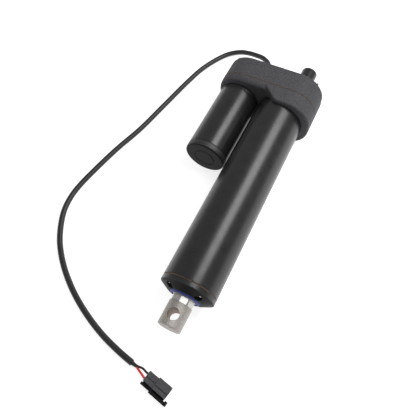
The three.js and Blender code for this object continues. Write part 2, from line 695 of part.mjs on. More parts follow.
// End cap: a spigot with the rear bearing seat, and a circular groove in its outer face.
const SPIGOT_END = -160.5;
const REAR_BEARING_FRONT = -167.6;
const SHAFT_ROOM = -172.5;
const GROOVE_R = 15.2;
add('motor_end_cap', spun([
  [0, MOTOR_TIP], [GROOVE_R, MOTOR_TIP], [GROOVE_R, MOTOR_TIP + 0.8],
  [GROOVE_R + 1.4, MOTOR_TIP + 0.8], [GROOVE_R + 1.4, MOTOR_TIP],
  [MOTOR_R - 3, MOTOR_TIP], [MOTOR_R, MOTOR_TIP + 3],
  [MOTOR_R, CAN_FRONT - GAP], [MOTOR_FIT_R, CAN_FRONT - GAP], [MOTOR_FIT_R, SPIGOT_END],
  [BEARING_R + GAP, SPIGOT_END], [BEARING_R + GAP, REAR_BEARING_FRONT - 0.5],
  [GEAR_SHAFT_R + 1, REAR_BEARING_FRONT - 0.5], [GEAR_SHAFT_R + 1, SHAFT_ROOM], [0, SHAFT_ROOM],
], 36, MOTOR_X, AXIS_HEIGHT), BLACK_PLASTIC);

const shaftClear = GEAR_SHAFT_R + GAP;
add('motor_bearing_1', motorRing(BEARING_R, shaftClear, 12, MOTOR_BACK - 0.8, 5), STEEL);
add('motor_bearing_2', motorRing(BEARING_R, shaftClear, 12, REAR_BEARING_FRONT + 5.1, 5), STEEL);

[-1, 1].forEach((side, i) => {
  const z = AXIS_HEIGHT + side * MOTOR_SCREW_OFFSET;
  const geometry = panScrew(MOTOR_X, z, PLATE_BACK + GAP, MOTOR_BACK - 5.2, 3.6, MOTOR_SCREW_R, 2.6);
  add(`motor_screw_${i + 1}`, geometry, STEEL);
});

// Magnets: two arcs inside the motor tube, one on each side of the armature.
const MAGNET_BACK = -62;
const MAGNET_LENGTH = 70;
[-1, 1].forEach((side, i) => {
  const shell = motorRing(MOTOR_BORE_R - GAP, MAGNET_R, 24, MAGNET_BACK, MAGNET_LENGTH);
  const [near, far] = side > 0 ? [9, 40] : [-40, -9];
  const front = MAGNET_BACK - MAGNET_LENGTH;
  const sector = block(
    MOTOR_X + near, MOTOR_X + far, front - 1, MAGNET_BACK + 1, AXIS_HEIGHT - 26, AXIS_HEIGHT + 26,
  );
  add(`magnet_${i + 1}`, common(shell, sector), FERRITE);
});

// Armature core: a slotted stack, one narrow slot between each pair of poles.
const CORE_BACK = -66;
const CORE_LENGTH = 62;
function armatureShape() {
  const points = [];
  const step = 2 * Math.PI / ARMATURE_SLOTS;
  const root = ARMATURE_R - 9.5;
  const corner = [
    [ARMATURE_R, -0.42], [ARMATURE_R, 0], [ARMATURE_R, 0.42], [root, 0.42], [root, 0.58],
  ];
  for (let i = 0; i < ARMATURE_SLOTS; i += 1) {
    for (const [radius, turn] of corner) {
      const angle = (i + turn) * step;
      points.push(new THREE.Vector2(
        MOTOR_X + radius * Math.cos(angle), AXIS_HEIGHT + radius * Math.sin(angle),
      ));
    }
  }
  return polygon(points);
}
add('armature_core', cut(
  prism(armatureShape(), CORE_BACK, CORE_LENGTH),
  rod(GEAR_SHAFT_R + GAP, 12, MOTOR_X, AXIS_HEIGHT, 0, 200),
), STEEL);
add('armature_shaft', rod(GEAR_SHAFT_R, 12, MOTOR_X, AXIS_HEIGHT, -29, 143), STEEL);
add('motor_pinion', cut(
  prism(gearShape(PINION_TEETH, STAGE_1_ANGLE, MOTOR_X, AXIS_HEIGHT), WHEEL_BACK, WHEEL_WIDTH),
  rod(GEAR_SHAFT_R + GAP, 12, MOTOR_X, AXIS_HEIGHT, 0, 60),
), STEEL);
const COMMUTATOR_R = 10;
add('commutator', motorRing(COMMUTATOR_R, GEAR_SHAFT_R + GAP, 16, -133, 14), COPPER);
const CORE_FRONT = CORE_BACK - CORE_LENGTH;
add('winding', turned([
  [12, CORE_FRONT - 0.4], [20, CORE_FRONT - 0.4], [21.5, CORE_FRONT - 2],
  [20, CORE_FRONT - 4], [COMMUTATOR_R + 0.8, CORE_FRONT - 4.3],
], 16, MOTOR_X, AXIS_HEIGHT), COPPER);
add('brush_holder', motorRing(MOTOR_FIT_R, COMMUTATOR_R + 3, 20, -148.5, 3), BLACK_PLASTIC);
[-1, 1].forEach((side, i) => {
  const near = COMMUTATOR_R + GAP;
  const far = near + 9;
  const z = [AXIS_HEIGHT + side * near, AXIS_HEIGHT + side * far].sort((a, b) => a - b);
  const brush = block(MOTOR_X - 3.5, MOTOR_X + 3.5, -145.5, -136.5, z[0], z[1]);
  add(`brush_${i + 1}`, brush, CARBON);
});

// ---- limit switches -----------------------------------------------------------------------------
// A board along the right wall of the drive tube, with a switch for each end of the stroke.
const BOARD_X = 30.6;
const BOARD_ENDS = [-352, -60];
const LIMIT_SWITCH_BACKS = [-64, -290];
add(
  'switch_board',
  block(BOARD_X, BOARD_X + 1.6, ...BOARD_ENDS, AXIS_HEIGHT - 9, AXIS_HEIGHT + 9),
  BOARD_GREEN,
);
LIMIT_SWITCH_BACKS.forEach((yBack, i) => {
  const body = block(
    BOARD_X - GAP - 4.3, BOARD_X - GAP, yBack - 16, yBack, AXIS_HEIGHT - 6, AXIS_HEIGHT + 6,
  );
  add(`limit_switch_${i + 1}`, body, BLACK_PLASTIC);
});

// ---- cable --------------------------------------------------------------------------------------
// Hand-laid route: out of the gland, down to the floor, then round to the front of the actuator.
const CABLE_ROUTE = [
  [GLAND_X, 4, GLAND_Z], [GLAND_X, 20, 35.8], [-58.5, 40, 34.5], [-68, 58, 30], [-82, 69, 25.5],
  [-96, 75, 20.5], [-112, 80, 15], [-131, 80.5, 10], [-150, 71, 6.5], [-166.5, 49, 4.8],
  [-180, 19, FLOOR_LINE], [-189, -16, FLOOR_LINE], [-202, -83, FLOOR_LINE],
  [-214, -145, FLOOR_LINE], [-229, -198, FLOOR_LINE], [-240, -248, FLOOR_LINE],
  [-246, -284, FLOOR_LINE], [-246.5, -306, FLOOR_LINE], [-241.5, -332, FLOOR_LINE],
  [-221, -371, FLOOR_LINE], [-194, -401, FLOOR_LINE], [-160, -427, FLOOR_LINE],
  [-124, -447, FLOOR_LINE], [-87, -462, FLOOR_LINE], [-56, -470.6, FLOOR_LINE],
  [-31, -475.8, FLOOR_LINE],
];
const CORE_ROUTE = [[-30.7, -475.9, FLOOR_LINE], [-22.2, -476.9, 4.8]];
const RED_ROUTE = [[-21.7, -478.1, 4.9], [-16, -480.7, 5.6], [-10, -483.4, 6.2], [-6.7, -484.9, 6.2]];
const BLACK_ROUTE = [
  [-21.2, -475.1, 4.9], [-14.4, -475.7, 5.8], [-8.6, -477.4, 6.2], [-5.2, -478.3, 6.2],
];

function tube(route, radius, sides, steps) {
  const path = new THREE.CatmullRomCurve3(route.map((p) => new THREE.Vector3(...p)));
  const round = circle(radius, sides, 0, 0);
  return new THREE.ExtrudeGeometry(round, { steps, extrudePath: path, bevelEnabled: false });
}
add('cord_sheath', tube(CABLE_ROUTE, CABLE_R, 8, 56), BLACK_RUBBER);
add('cord_core', tube(CORE_ROUTE, CORE_R, 8, 1), BLACK_RUBBER);
add('wire_red', tube(RED_ROUTE, WIRE_R, 6, 4), RED_RUBBER);
add('wire_black', tube(BLACK_ROUTE, WIRE_R, 6, 4), BLACK_RUBBER);

// ---- plug ---------------------------------------------------------------------------------------
// Plug frame: x runs from the wire end to the mouth, y across, z up from the floor.
const PLUG_SHOULDER = 15.3;
const PLUG_LENGTH = 34.8;
const PLUG_FLOOR = 0.3;
const PLUG_TOP = 12.3;
const PLUG_REAR_SIDES = [-7.9, 6.6];
const PLUG_FRONT_HALF = 8.2;
const PLUG_WALL = 1.6;
const MOUTH_BACK = 20;
const GROOVE_SIDES = [-2.6, -1.4];
const GROOVE_DEPTH = 1.4;
const LEVER_REAR_SIDES = [-13.1, -9.6];
const LEVER_FRONT_SIDES = [-14.8, -10.6];
const LEVER_ENDS = [-1, 41];
const LEVER_STEP = 14;
const LEVER_FLOOR = 2.4;
const LEVER_TOP = 9.4;
const WEB_TOP = 5.6;
const BRIDGE_ENDS = [10, 17.5];
const HOOK_LENGTH = 3.4;
const HOOK_REACH = -8.8;

function placePlug(geometry) {
  return geometry.rotateZ(PLUG_ANGLE).translate(PLUG_X, PLUG_Y, 0);
}

function buildPlug() {
  const rear = block(
    0, PLUG_SHOULDER + 1, ...PLUG_REAR_SIDES, PLUG_FLOOR + 0.8, PLUG_TOP - 0.8,
  );
  const front = block(
    PLUG_SHOULDER, PLUG_LENGTH, -PLUG_FRONT_HALF, PLUG_FRONT_HALF, PLUG_FLOOR, PLUG_TOP,
  );
  const leverRear = block(
    LEVER_ENDS[0], LEVER_STEP + 1, ...LEVER_REAR_SIDES, LEVER_FLOOR, LEVER_TOP,
  );
  const leverFront = block(
    LEVER_STEP, LEVER_ENDS[1], ...LEVER_FRONT_SIDES, LEVER_FLOOR, LEVER_TOP,
  );
  const bridge = block(
    ...BRIDGE_ENDS, LEVER_FRONT_SIDES[1] - 0.5, PLUG_REAR_SIDES[0] + 0.5, LEVER_FLOOR, LEVER_TOP,
  );
  const web = block(
    0, PLUG_LENGTH, LEVER_FRONT_SIDES[1] - 0.5, PLUG_REAR_SIDES[0] + 0.5, LEVER_FLOOR, WEB_TOP,
  );
  const hook = block(
    LEVER_ENDS[1] - HOOK_LENGTH, LEVER_ENDS[1], LEVER_FRONT_SIDES[1] - 0.5, HOOK_REACH,
    LEVER_FLOOR, LEVER_TOP,
  );
  const mouthHalf = PLUG_FRONT_HALF - PLUG_WALL;
  const mouth = block(
    MOUTH_BACK, PLUG_LENGTH + 1, -mouthHalf, mouthHalf,
    PLUG_FLOOR + PLUG_WALL, PLUG_TOP - PLUG_WALL,
  );
  const groove = block(
    -1, PLUG_LENGTH + 1, ...GROOVE_SIDES, PLUG_TOP - GROOVE_DEPTH, PLUG_TOP + 1,
  );
  return cut(join(rear, front, leverRear, leverFront, bridge, web, hook), mouth, groove);
}
add('plug_housing', placePlug(buildPlug()), BLACK_PLASTIC);
const TERMINAL_OFFSET = 3.6;
[-1, 1].forEach((side, i) => {
  const y = side * TERMINAL_OFFSET;
  const blade = block(MOUTH_BACK + GAP, PLUG_LENGTH - 1.8, y - 0.9, y + 0.9, 2.8, 4.2);
  add(`terminal_${i + 1}`, placePlug(blade), BRONZE);
});

// ---- shared frame -------------------------------------------------------------------------------
// The origin is the middle of the body's footprint, cable and plug left out, on the floor.
const CENTRE_X = (BOX_LEFT + BOX_RIGHT) / 2;
const CENTRE_Y = (LUG_TIP + ROD_END_TIP) / 2;
part.children.forEach((mesh) => mesh.geometry.translate(-CENTRE_X, -CENTRE_Y, 0));

export default part;
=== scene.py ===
import json
import math

import bmesh
import bpy
from mathutils import Matrix, Vector


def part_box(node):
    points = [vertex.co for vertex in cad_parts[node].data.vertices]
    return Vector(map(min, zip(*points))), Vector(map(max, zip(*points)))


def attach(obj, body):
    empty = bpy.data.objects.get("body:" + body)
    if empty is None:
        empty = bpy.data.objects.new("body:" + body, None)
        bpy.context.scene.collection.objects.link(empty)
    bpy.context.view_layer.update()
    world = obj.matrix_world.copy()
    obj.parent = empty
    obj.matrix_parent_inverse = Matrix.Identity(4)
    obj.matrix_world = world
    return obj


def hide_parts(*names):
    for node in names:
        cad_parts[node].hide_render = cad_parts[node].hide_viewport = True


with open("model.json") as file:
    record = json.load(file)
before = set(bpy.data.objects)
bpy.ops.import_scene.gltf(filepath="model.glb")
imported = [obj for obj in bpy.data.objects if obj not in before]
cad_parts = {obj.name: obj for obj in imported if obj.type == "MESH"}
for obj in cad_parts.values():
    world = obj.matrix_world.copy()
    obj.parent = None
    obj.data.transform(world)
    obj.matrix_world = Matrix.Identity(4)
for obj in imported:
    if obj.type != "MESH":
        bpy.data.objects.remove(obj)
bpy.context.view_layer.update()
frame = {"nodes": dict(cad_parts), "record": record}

# ---- layout --------------------------------------------------------------------------------------
# Pieces are laid out in millimetres: x = 0 is the axis of the drive tube, y = 0 is the rear face of
# the gearbox, the rod points towards -y and z = 0 is the floor.
MM = 0.001
GAP = 0.3  # the room between pieces that touch
tube_low, tube_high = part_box("outer_tube")
ORIGIN = Vector(((tube_low.x + tube_high.x) / 2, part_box("rear_cover")[1].y, 0))


def row(x, y, z):
    """A layout point in the shared frame, in metres."""
    return ORIGIN + Vector((x, y, z)) * MM


def span(node):
    """The box of a CAD node in layout millimetres."""
    low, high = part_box(node)
    return (low - ORIGIN) / MM, (high - ORIGIN) / MM


def width(node):
    low, high = span(node)
    return high.x - low.x


AXIS = (span("outer_tube")[0].z + span("outer_tube")[1].z) / 2
MOTOR_X = (span("motor_end_cap")[0].x + span("motor_end_cap")[1].x) / 2

# gearbox
BOX_LOW, BOX_HIGH = span("rear_cover")
BOX_CORNER = 40
BOX_WALL = 5
COVER_FRONT = BOX_LOW.y
HOUSING_BACK = span("front_housing")[1].y
HOUSING_FRONT = span("front_housing")[0].y
PLATE_BACK = -41.5
PLATE_FRONT = -52
MOTOR_SIDE_FRONT = -48.5
MOTOR_SEAT = -45
FLANK = (-42, -6)
EDGE_ROUND = 3
MOTOR_SIDE_ROUND = (3.5, 7)
HUB_BACK = PLATE_BACK + 1.7
SCREW_BUSH_R = 10
SCREW_BEARING_R = 21
GEAR_SHAFT_R = 4
COVER_SCREW_R = 2
MOTOR_SCREW_R = 2

# tube, cap and rod
TUBE_R = width("outer_tube") / 2
TUBE_BORE_R = 36
PORT_OFFSET = 20.15
PORT_R = 5
PORT_HOLE_R = 2.6
POCKET_R = 5.2
CAP_FRONT = span("front_cap")[0].y
CAP_BACK = -366
CAP_CONE_BACK = -372
CAP_HUB_R = 25.5
POCKET_FLOOR = -370.5
CAP_SCREW_R = 2.1
CAP_SCREW_HOLE_R = 2.8
SEAL_R = width("wiper_seal") / 2
ROD_R = width("rod_tube") / 2
ROD_BORE_R = 12.5
EYE_Y = -406.2
EYE_R = 8
FLATS_FRONT = -389.6
FLAT_ACROSS = 30
NECK_R = 15.7
SPANNER_FLATS = 8
FLATS_TURN = math.radians(75.5)

# motor
MOTOR_R = width("motor_end_cap") / 2
MOTOR_BORE_R = 29.5
CAN_FRONT = span("motor_can")[0].y
MOTOR_TIP = span("motor_end_cap")[0].y

# cable: the same route as in the CAD, and the two wires end a little further inside the plug
CABLE_R = 4.3
CORE_R = 2.8
WIRE_R = 1.5
GLAND = (-56, 36)
FLOOR_LINE = CABLE_R + 0.1
CABLE_ROUTE = [
    (GLAND[0], 4, GLAND[1]), (GLAND[0], 20, 35.8), (-58.5, 40, 34.5), (-68, 58, 30),
    (-82, 69, 25.5), (-96, 75, 20.5), (-112, 80, 15), (-131, 80.5, 10), (-150, 71, 6.5),
    (-166.5, 49, 4.8), (-180, 19, FLOOR_LINE), (-189, -16, FLOOR_LINE), (-202, -83, FLOOR_LINE),
    (-214, -145, FLOOR_LINE), (-229, -198, FLOOR_LINE), (-240, -248, FLOOR_LINE),
    (-246, -284, FLOOR_LINE), (-246.5, -306, FLOOR_LINE), (-241.5, -332, FLOOR_LINE),
    (-221, -371, FLOOR_LINE), (-194, -401, FLOOR_LINE), (-160, -427, FLOOR_LINE),
    (-124, -447, FLOOR_LINE), (-87, -462, FLOOR_LINE), (-56, -470.6, FLOOR_LINE),
    (-31, -475.8, FLOOR_LINE),
]
CORE_ROUTE = [(-30.7, -475.9, FLOOR_LINE), (-22.2, -476.9, 4.8)]
RED_ROUTE = [(-22, -477.9, 4.9), (-16, -480.7, 5.6), (-10, -483.4, 6.2), (-4.6, -485.8, 6.2)]
BLACK_ROUTE = [(-22, -476.2, 4.9), (-14.4, -475.7, 5.8), (-8.6, -477.4, 6.2), (-3, -478.7, 6.2)]
PLUG_AT = (-4.6, -480.3)
PLUG_ANGLE = math.radians(-11.5)


# ---- materials -----------------------------------------------------------------------------------
class Shader:
    """A procedural material that is built up from object coordinates."""

    def __init__(self, name):
        self.material = bpy.data.materials.new(name)
        self.material.use_nodes = True
        self.tree = self.material.node_tree
        self.principled = self.tree.nodes["Principled BSDF"]
        self.place = self.node("ShaderNodeTexCoord").outputs["Object"]

    def node(self, kind):
        return self.tree.nodes.new(kind)

    def link(self, source, target):
        self.tree.links.new(source, target)

    def noise(self, size, detail=4.0, stretch=(1, 1, 1)):
        """Noise whose features are about size millimetres across, longer along the stretch."""
        mapping = self.node("ShaderNodeMapping")
        mapping.inputs["Scale"].default_value = [1 / s for s in stretch]
        texture = self.node("ShaderNodeTexNoise")
        texture.inputs["Scale"].default_value = 1 / (size * MM)
        texture.inputs["Detail"].default_value = detail
        self.link(self.place, mapping.inputs["Vector"])
        self.link(mapping.outputs["Vector"], texture.inputs["Vector"])
        return texture.outputs["Fac"]

    def mapped(self, value, low, high, to_low, to_high):
        node = self.node("ShaderNodeMapRange")
        node.inputs["From Min"].default_value = low
        node.inputs["From Max"].default_value = high
        node.inputs["To Min"].default_value = to_low
        node.inputs["To Max"].default_value = to_high
        self.link(value, node.inputs["Value"])
        return node.outputs["Result"]

    def math(self, operation, first, second):
        node = self.node("ShaderNodeMath")
        node.operation = operation
        for socket, value in zip(node.inputs, (first, second)):
            if isinstance(value, (int, float)):
                socket.default_value = value
            else:
                self.link(value, socket)
        return node.outputs["Value"]

    def mixed(self, factor, first, second):
        node = self.node("ShaderNodeMix")
        node.data_type = "RGBA"
        self.link(factor, node.inputs["Factor"])
        for socket, value in ((node.inputs["A"], first), (node.inputs["B"], second)):
            if isinstance(value, tuple):
                socket.default_value = (*value, 1)
            else:
                self.link(value, socket)
        return node.outputs["Result"]

    def edges(self, radius):
        """Near 1 on convex and concave edges, 0 on smooth surfaces."""
        bevel = self.node("ShaderNodeBevel")
        bevel.samples = 6
        bevel.inputs["Radius"].default_value = radius * MM
        geometry = self.node("ShaderNodeNewGeometry")
        dot = self.node("ShaderNodeVectorMath")
        dot.operation = "DOT_PRODUCT"
        self.link(bevel.outputs["Normal"], dot.inputs[0])
        self.link(geometry.outputs["Normal"], dot.inputs[1])
        return self.mapped(dot.outputs["Value"], 0.80, 0.99, 1, 0)


def surface(
    name, dark, light, worn, roughness, metallic=0.0, blotch=14, grain=0.5, spread=0.08,
    bump=0.04, wear=0.5, stretch=(1, 1, 1), specular=0.5,
):
    """A material: two tones in blotches, grain in bump and roughness, worn edges."""
    s = Shader(name)
    blotches = s.noise(blotch, 5, stretch)
    fine = s.noise(grain, 3, stretch)
    tone = s.mapped(s.math("ADD", blotches, s.math("MULTIPLY", fine, 0.5)), 0.5, 1.0, 0, 1)
    patchy = s.mapped(s.noise(3, 4), 0.42, 0.62, 0, wear)
    edge = s.math("MULTIPLY", s.edges(0.5), patchy)
    s.link(s.mixed(edge, s.mixed(tone, dark, light), worn), s.principled.inputs["Base Color"])
    rough = s.mapped(
        s.math("ADD", s.math("MULTIPLY", blotches, 0.6), s.math("MULTIPLY", fine, 0.4)),
        0.3, 0.7, roughness - spread, roughness + spread,
    )
    s.link(rough, s.principled.inputs["Roughness"])
    relief = s.node("ShaderNodeBump")
    relief.inputs["Distance"].default_value = bump * MM
    relief.inputs["Strength"].default_value = 0.8
    s.link(fine, relief.inputs["Height"])
    s.link(relief.outputs["Normal"], s.principled.inputs["Normal"])
    s.principled.inputs["Metallic"].default_value = metallic
    s.principled.inputs["Specular IOR Level"].default_value = specular
    return s.material


TURNED = (8, 0.25, 8)
LOOKS = {
    # painted shade: a darker, duller copy of the black for faces that lie in shade (the plug's lever,
    # the front cap's face, the motor cap's face)
    "painted_shade_black": surface(
        "painted_shade_black", (0.008, 0.008, 0.009), (0.018, 0.018, 0.019), (0.09, 0.09, 0.10), 0.42,
        grain=0.4, bump=0.02, wear=0.5, spread=0.06, specular=0.06,
    ),
    "plug_plastic": surface(
        "plug_plastic", (0.055, 0.055, 0.060), (0.105, 0.105, 0.114), (0.15, 0.15, 0.16), 0.6,
        blotch=3, grain=0.35, bump=0.04, wear=0.3, specular=0.3,
    ),
    "blasted_steel": surface(
        "blasted_steel", (0.27, 0.25, 0.23), (0.62, 0.585, 0.55), (0.68, 0.65, 0.61), 0.60,
        metallic=1.0, blotch=1.1, grain=0.5, bump=0.2, wear=0.5, spread=0.10,
    ),
    # the bore's own lengthwise streaks, with a darker, browner tone that is painted shade inside the
    # hole
    "bore_finish_and_shade": surface(
        "bore_finish_and_shade", (0.16, 0.115, 0.08), (0.27, 0.205, 0.15), (0.5, 0.46, 0.4), 0.5,
        metallic=1.0, blotch=2.5, grain=0.3, bump=0.03, wear=0.3, stretch=(1, 1, 5),
    ),
    "casting": surface(
        "casting", (0.034, 0.034, 0.037), (0.096, 0.096, 0.102), (0.17, 0.17, 0.18), 0.6,
        blotch=1.5, grain=0.4, bump=0.08, wear=0.3, specular=0.12,
    ),
    "black_paint": surface(
        "black_paint", (0.0075, 0.0075, 0.0085), (0.013, 0.013, 0.014), (0.10, 0.10, 0.11), 0.30,
        grain=0.45, bump=0.012, wear=0.3, spread=0.05,
    ),
    "black_plastic": surface(
        "black_plastic", (0.014, 0.014, 0.016), (0.022, 0.022, 0.024), (0.07, 0.07, 0.075), 0.48,
        grain=0.3, bump=0.02, wear=0.3,
    ),
    "black_rubber": surface(
        "black_rubber", (0.010, 0.010, 0.011), (0.018, 0.018, 0.019), (0.05, 0.05, 0.05), 0.42,
        blotch=22, grain=0.4, bump=0.015, wear=0.2,
    ),
    "red_rubber": surface(
        "red_rubber", (0.68, 0.020, 0.022), (0.80, 0.035, 0.035), (0.80, 0.10, 0.09), 0.38,
        blotch=4, grain=0.3, bump=0.01, wear=0.3,
    ),
    "blue_rubber": surface(
        "blue_rubber", (0.028, 0.042, 0.22), (0.050, 0.075, 0.33), (0.12, 0.16, 0.50), 0.45,
        blotch=3, grain=0.3, bump=0.02, wear=0.4, specular=0.2,
    ),
    "gasket": surface(
        "gasket", (0.045, 0.032, 0.022), (0.20, 0.12, 0.07), (0.22, 0.14, 0.09), 0.85,
        blotch=9, grain=0.25, bump=0.05, wear=0.3,
    ),
    "stainless": surface(
        "stainless", (0.44, 0.43, 0.41), (0.60, 0.585, 0.56), (0.74, 0.73, 0.70), 0.30,
        metallic=1.0, blotch=6, grain=0.3, bump=0.008, wear=0.8, stretch=TURNED, spread=0.07,
    ),
    "steel": surface(
        "steel", (0.33, 0.33, 0.34), (0.46, 0.46, 0.47), (0.62, 0.62, 0.62), 0.36,
        metallic=1.0, blotch=8, grain=0.35, bump=0.012, wear=0.7,
    ),
    "bronze": surface(
        "bronze", (0.42, 0.24, 0.08), (0.56, 0.34, 0.12), (0.70, 0.46, 0.20), 0.36,
        metallic=1.0, blotch=7, grain=0.35, bump=0.012, wear=0.7,
    ),
    "copper": surface(
        "copper", (0.46, 0.17, 0.08), (0.60, 0.25, 0.12), (0.74, 0.36, 0.20), 0.34,
        metallic=1.0, blotch=5, grain=0.3, bump=0.012, wear=0.7,
    ),
    "white_plastic": surface(
        "white_plastic", (0.62, 0.61, 0.56), (0.74, 0.73, 0.68), (0.80, 0.79, 0.75), 0.42,
        blotch=10, grain=0.4, bump=0.01, wear=0.3,
    ),
    "ferrite": surface(
        "ferrite", (0.040, 0.040, 0.042), (0.062, 0.062, 0.065), (0.13, 0.13, 0.13), 0.6,
        metallic=0.3, blotch=6, grain=0.4, bump=0.03, wear=0.5,
    ),
    "carbon": surface(
        "carbon", (0.022, 0.022, 0.022), (0.040, 0.040, 0.040), (0.09, 0.09, 0.09), 0.6,
        blotch=4, grain=0.3, bump=0.03, wear=0.5,
    ),
    "board": surface(
        "board", (0.012, 0.085, 0.035), (0.024, 0.15, 0.06), (0.25, 0.24, 0.14), 0.38,
        blotch=9, grain=0.5, bump=0.01, wear=0.6,
    ),
}


# ---- mesh helpers --------------------------------------------------------------------------------
def circle(radius, steps, x=0.0, z=AXIS, turn=0.0):
    angles = [turn + 2 * math.pi * k / steps for k in range(steps)]
    return [(x + radius * math.cos(a), z + radius * math.sin(a)) for a in angles]


def rounded(corners, radius, steps=4, closed=True):
    """A flat outline with each corner rounded. An open outline keeps its two ends."""
    points = [Vector(c) for c in corners]
    result = []
    for i, corner in enumerate(points):
        if not closed and i in (0, len(points) - 1):
            result.append(tuple(corner))
            continue
        to_last = points[i - 1] - corner
        to_next = points[(i + 1) % len(points)] - corner
        reach = min(radius, 0.45 * to_last.length, 0.45 * to_next.length)
        start = corner + reach * to_last.normalized()
        end = corner + reach * to_next.normalized()
        for k in range(steps + 1):
            t = k / steps
            result.append(tuple((1 - t) ** 2 * start + 2 * t * (1 - t) * corner + t * t * end))
    return result


def add_object(name, data):
    thing = bpy.data.objects.new(name, data)
    bpy.context.scene.collection.objects.link(thing)
    return thing


def facing(side, up, back, at):
    """The matrix of a camera or light at a point, from its side, up and backward directions."""
    return Matrix((
        (side.x, up.x, back.x, at.x),
        (side.y, up.y, back.y, at.y),
        (side.z, up.z, back.z, at.z),
        (0, 0, 0, 1),
    ))


def mesh_object(name, vertices, faces):
    """A mesh from layout points, with its faces turned outwards."""
    mesh = bpy.data.meshes.new(name)
    mesh.from_pydata([row(*v) for v in vertices], [], faces)
    body = bmesh.new()
    body.from_mesh(mesh)
    bmesh.ops.remove_doubles(body, verts=body.verts, dist=0.5e-6)
    bmesh.ops.recalc_face_normals(body, faces=body.faces)
    body.to_mesh(mesh)
    body.free()
    return add_object(name, mesh)


def turned(name, profile, x=0.0, z=AXIS, steps=96):
    """A body turned about an axis along y, from (radius, y) corners."""
    vertices = []
    rings = []
    for radius, y in profile:
        first = len(vertices)
        if radius < 1e-6:
            vertices.append((x, y, z))
            rings.append([first] * steps)
        else:
            vertices += [(px, y, pz) for px, pz in circle(radius, steps, x, z)]
            rings.append(list(range(first, first + steps)))
    return mesh_object(name, vertices, bands(rings + rings[:1]))


def bands(rings):
    """Faces between each ring of vertex numbers and the next."""
    faces = []
    for near, far in zip(rings, rings[1:]):
        for k in range(len(near)):
            n = (k + 1) % len(near)
            corners = list(dict.fromkeys((near[k], near[n], far[n], far[k])))
            if len(corners) > 2:
                faces.append(corners)
    return faces


def lofted(name, rings):
    """A body through rings of points, with flat ends."""
    count = len(rings[0])
    numbers = [list(range(i * count, (i + 1) * count)) for i in range(len(rings))]
    faces = bands(numbers) + [numbers[0], numbers[-1]]
    return mesh_object(name, [p for ring in rings for p in ring], faces)


def prism(name, outline, y_back, y_front):
    """A body with a flat (x, z) outline, from the station y_back to y_front."""
    return lofted(name, [[(x, y, z) for x, z in outline] for y in (y_back, y_front)])


def rod(name, radius, x, z, y_back, y_front, steps=48):
    return prism(name, circle(radius, steps, x, z), y_back, y_front)


def pin(name, radius, x, y, z_low, z_high, steps=64):
    """An upright cylinder."""
    ring = circle(radius, steps, x, y)
    return lofted(name, [[(px, py, z) for px, py in ring] for z in (z_low, z_high)])


def block(name, x, y, z):
    """A box between the (low, high) pairs x, y and z."""
    ring = [(x[0], y[0]), (x[1], y[0]), (x[1], y[1]), (x[0], y[1])]
    return lofted(name, [[(px, py, pz) for px, py in ring] for pz in z])


def settle(piece):
    """Applies the modifiers of a piece."""
    graph = bpy.context.evaluated_depsgraph_get()
    mesh = bpy.data.meshes.new_from_object(piece.evaluated_get(graph))
    old = piece.data
    piece.modifiers.clear()
    piece.data = mesh
    bpy.data.meshes.remove(old)
    return piece


def combine(piece, operation, tools):
    """Cuts the tools out of a piece, or joins them to it."""
    for tool in tools:
        modifier = piece.modifiers.new("combine", "BOOLEAN")
        modifier.operation = operation
        modifier.solver = "EXACT"
        modifier.object = tool
        settle(piece)
        bpy.data.objects.remove(tool)
    return piece


def carve(piece, *tools):
    return combine(piece, "DIFFERENCE", tools)


def fuse(piece, *tools):
    return combine(piece, "UNION", tools)


def soften(piece, radius, segments=3, angle=30):
    """Rounds the edges of a piece that are sharper than the angle."""
    modifier = piece.modifiers.new("soften", "BEVEL")
    modifier.width = radius * MM
    modifier.segments = segments
    modifier.limit_method = "ANGLE"
    modifier.angle_limit = math.radians(angle)
    modifier.use_clamp_overlap = True
    return settle(piece)


def place(piece, slot, body, *nodes, sharp=34, look=None, regions=()):
    """Gives a piece its finish and its shading, and puts it on its body in place of CAD nodes.

    A region is another look and a test that picks its faces by layout centre and normal."""
    piece.data.materials.clear()
    piece.data.materials.append(LOOKS[look or slot])
    for number, (other, inside) in enumerate(regions, 1):
        piece.data.materials.append(LOOKS[other])
        for face in piece.data.polygons:
            if inside((face.center - ORIGIN) / MM, face.normal):
                face.material_index = number
    piece.data.shade_smooth()
    piece.data.set_sharp_from_angle(angle=math.radians(sharp))
    modifier = piece.modifiers.new("even", "WEIGHTED_NORMAL")
    modifier.keep_sharp = True
    settle(piece)
    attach(piece, body)
    if nodes:
        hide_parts(*nodes)
    return piece


# ---- camera --------------------------------------------------------------------------------------
AZIMUTH = math.radians(29.88)
ELEVATION = math.radians(61.21)
ROLL = math.radians(-4.48)
DISTANCE = 0.65353
TARGET = row(-27.59, -225.44, AXIS)
LENS = 39.08
LENS_SHIFT = (-0.0229, -0.0317)


def make_camera():
    data = bpy.data.cameras.new("camera")
    data.sensor_width = 36
    data.lens = LENS
    data.shift_x, data.shift_y = LENS_SHIFT
    data.clip_start = 0.01
    camera = add_object("camera", data)
    back = Vector((
        math.sin(AZIMUTH) * math.cos(ELEVATION),
        -math.cos(AZIMUTH) * math.cos(ELEVATION),
        math.sin(ELEVATION),
    ))
    level = (-back).cross(Vector((0, 0, 1))).normalized()
    upright = level.cross(-back)
    right = math.cos(ROLL) * level + math.sin(ROLL) * upright
    up = -math.sin(ROLL) * level + math.cos(ROLL) * upright
    at = TARGET + DISTANCE * back
    camera.matrix_world = facing(right, up, back, at)
    bpy.context.scene.camera = camera


make_camera()


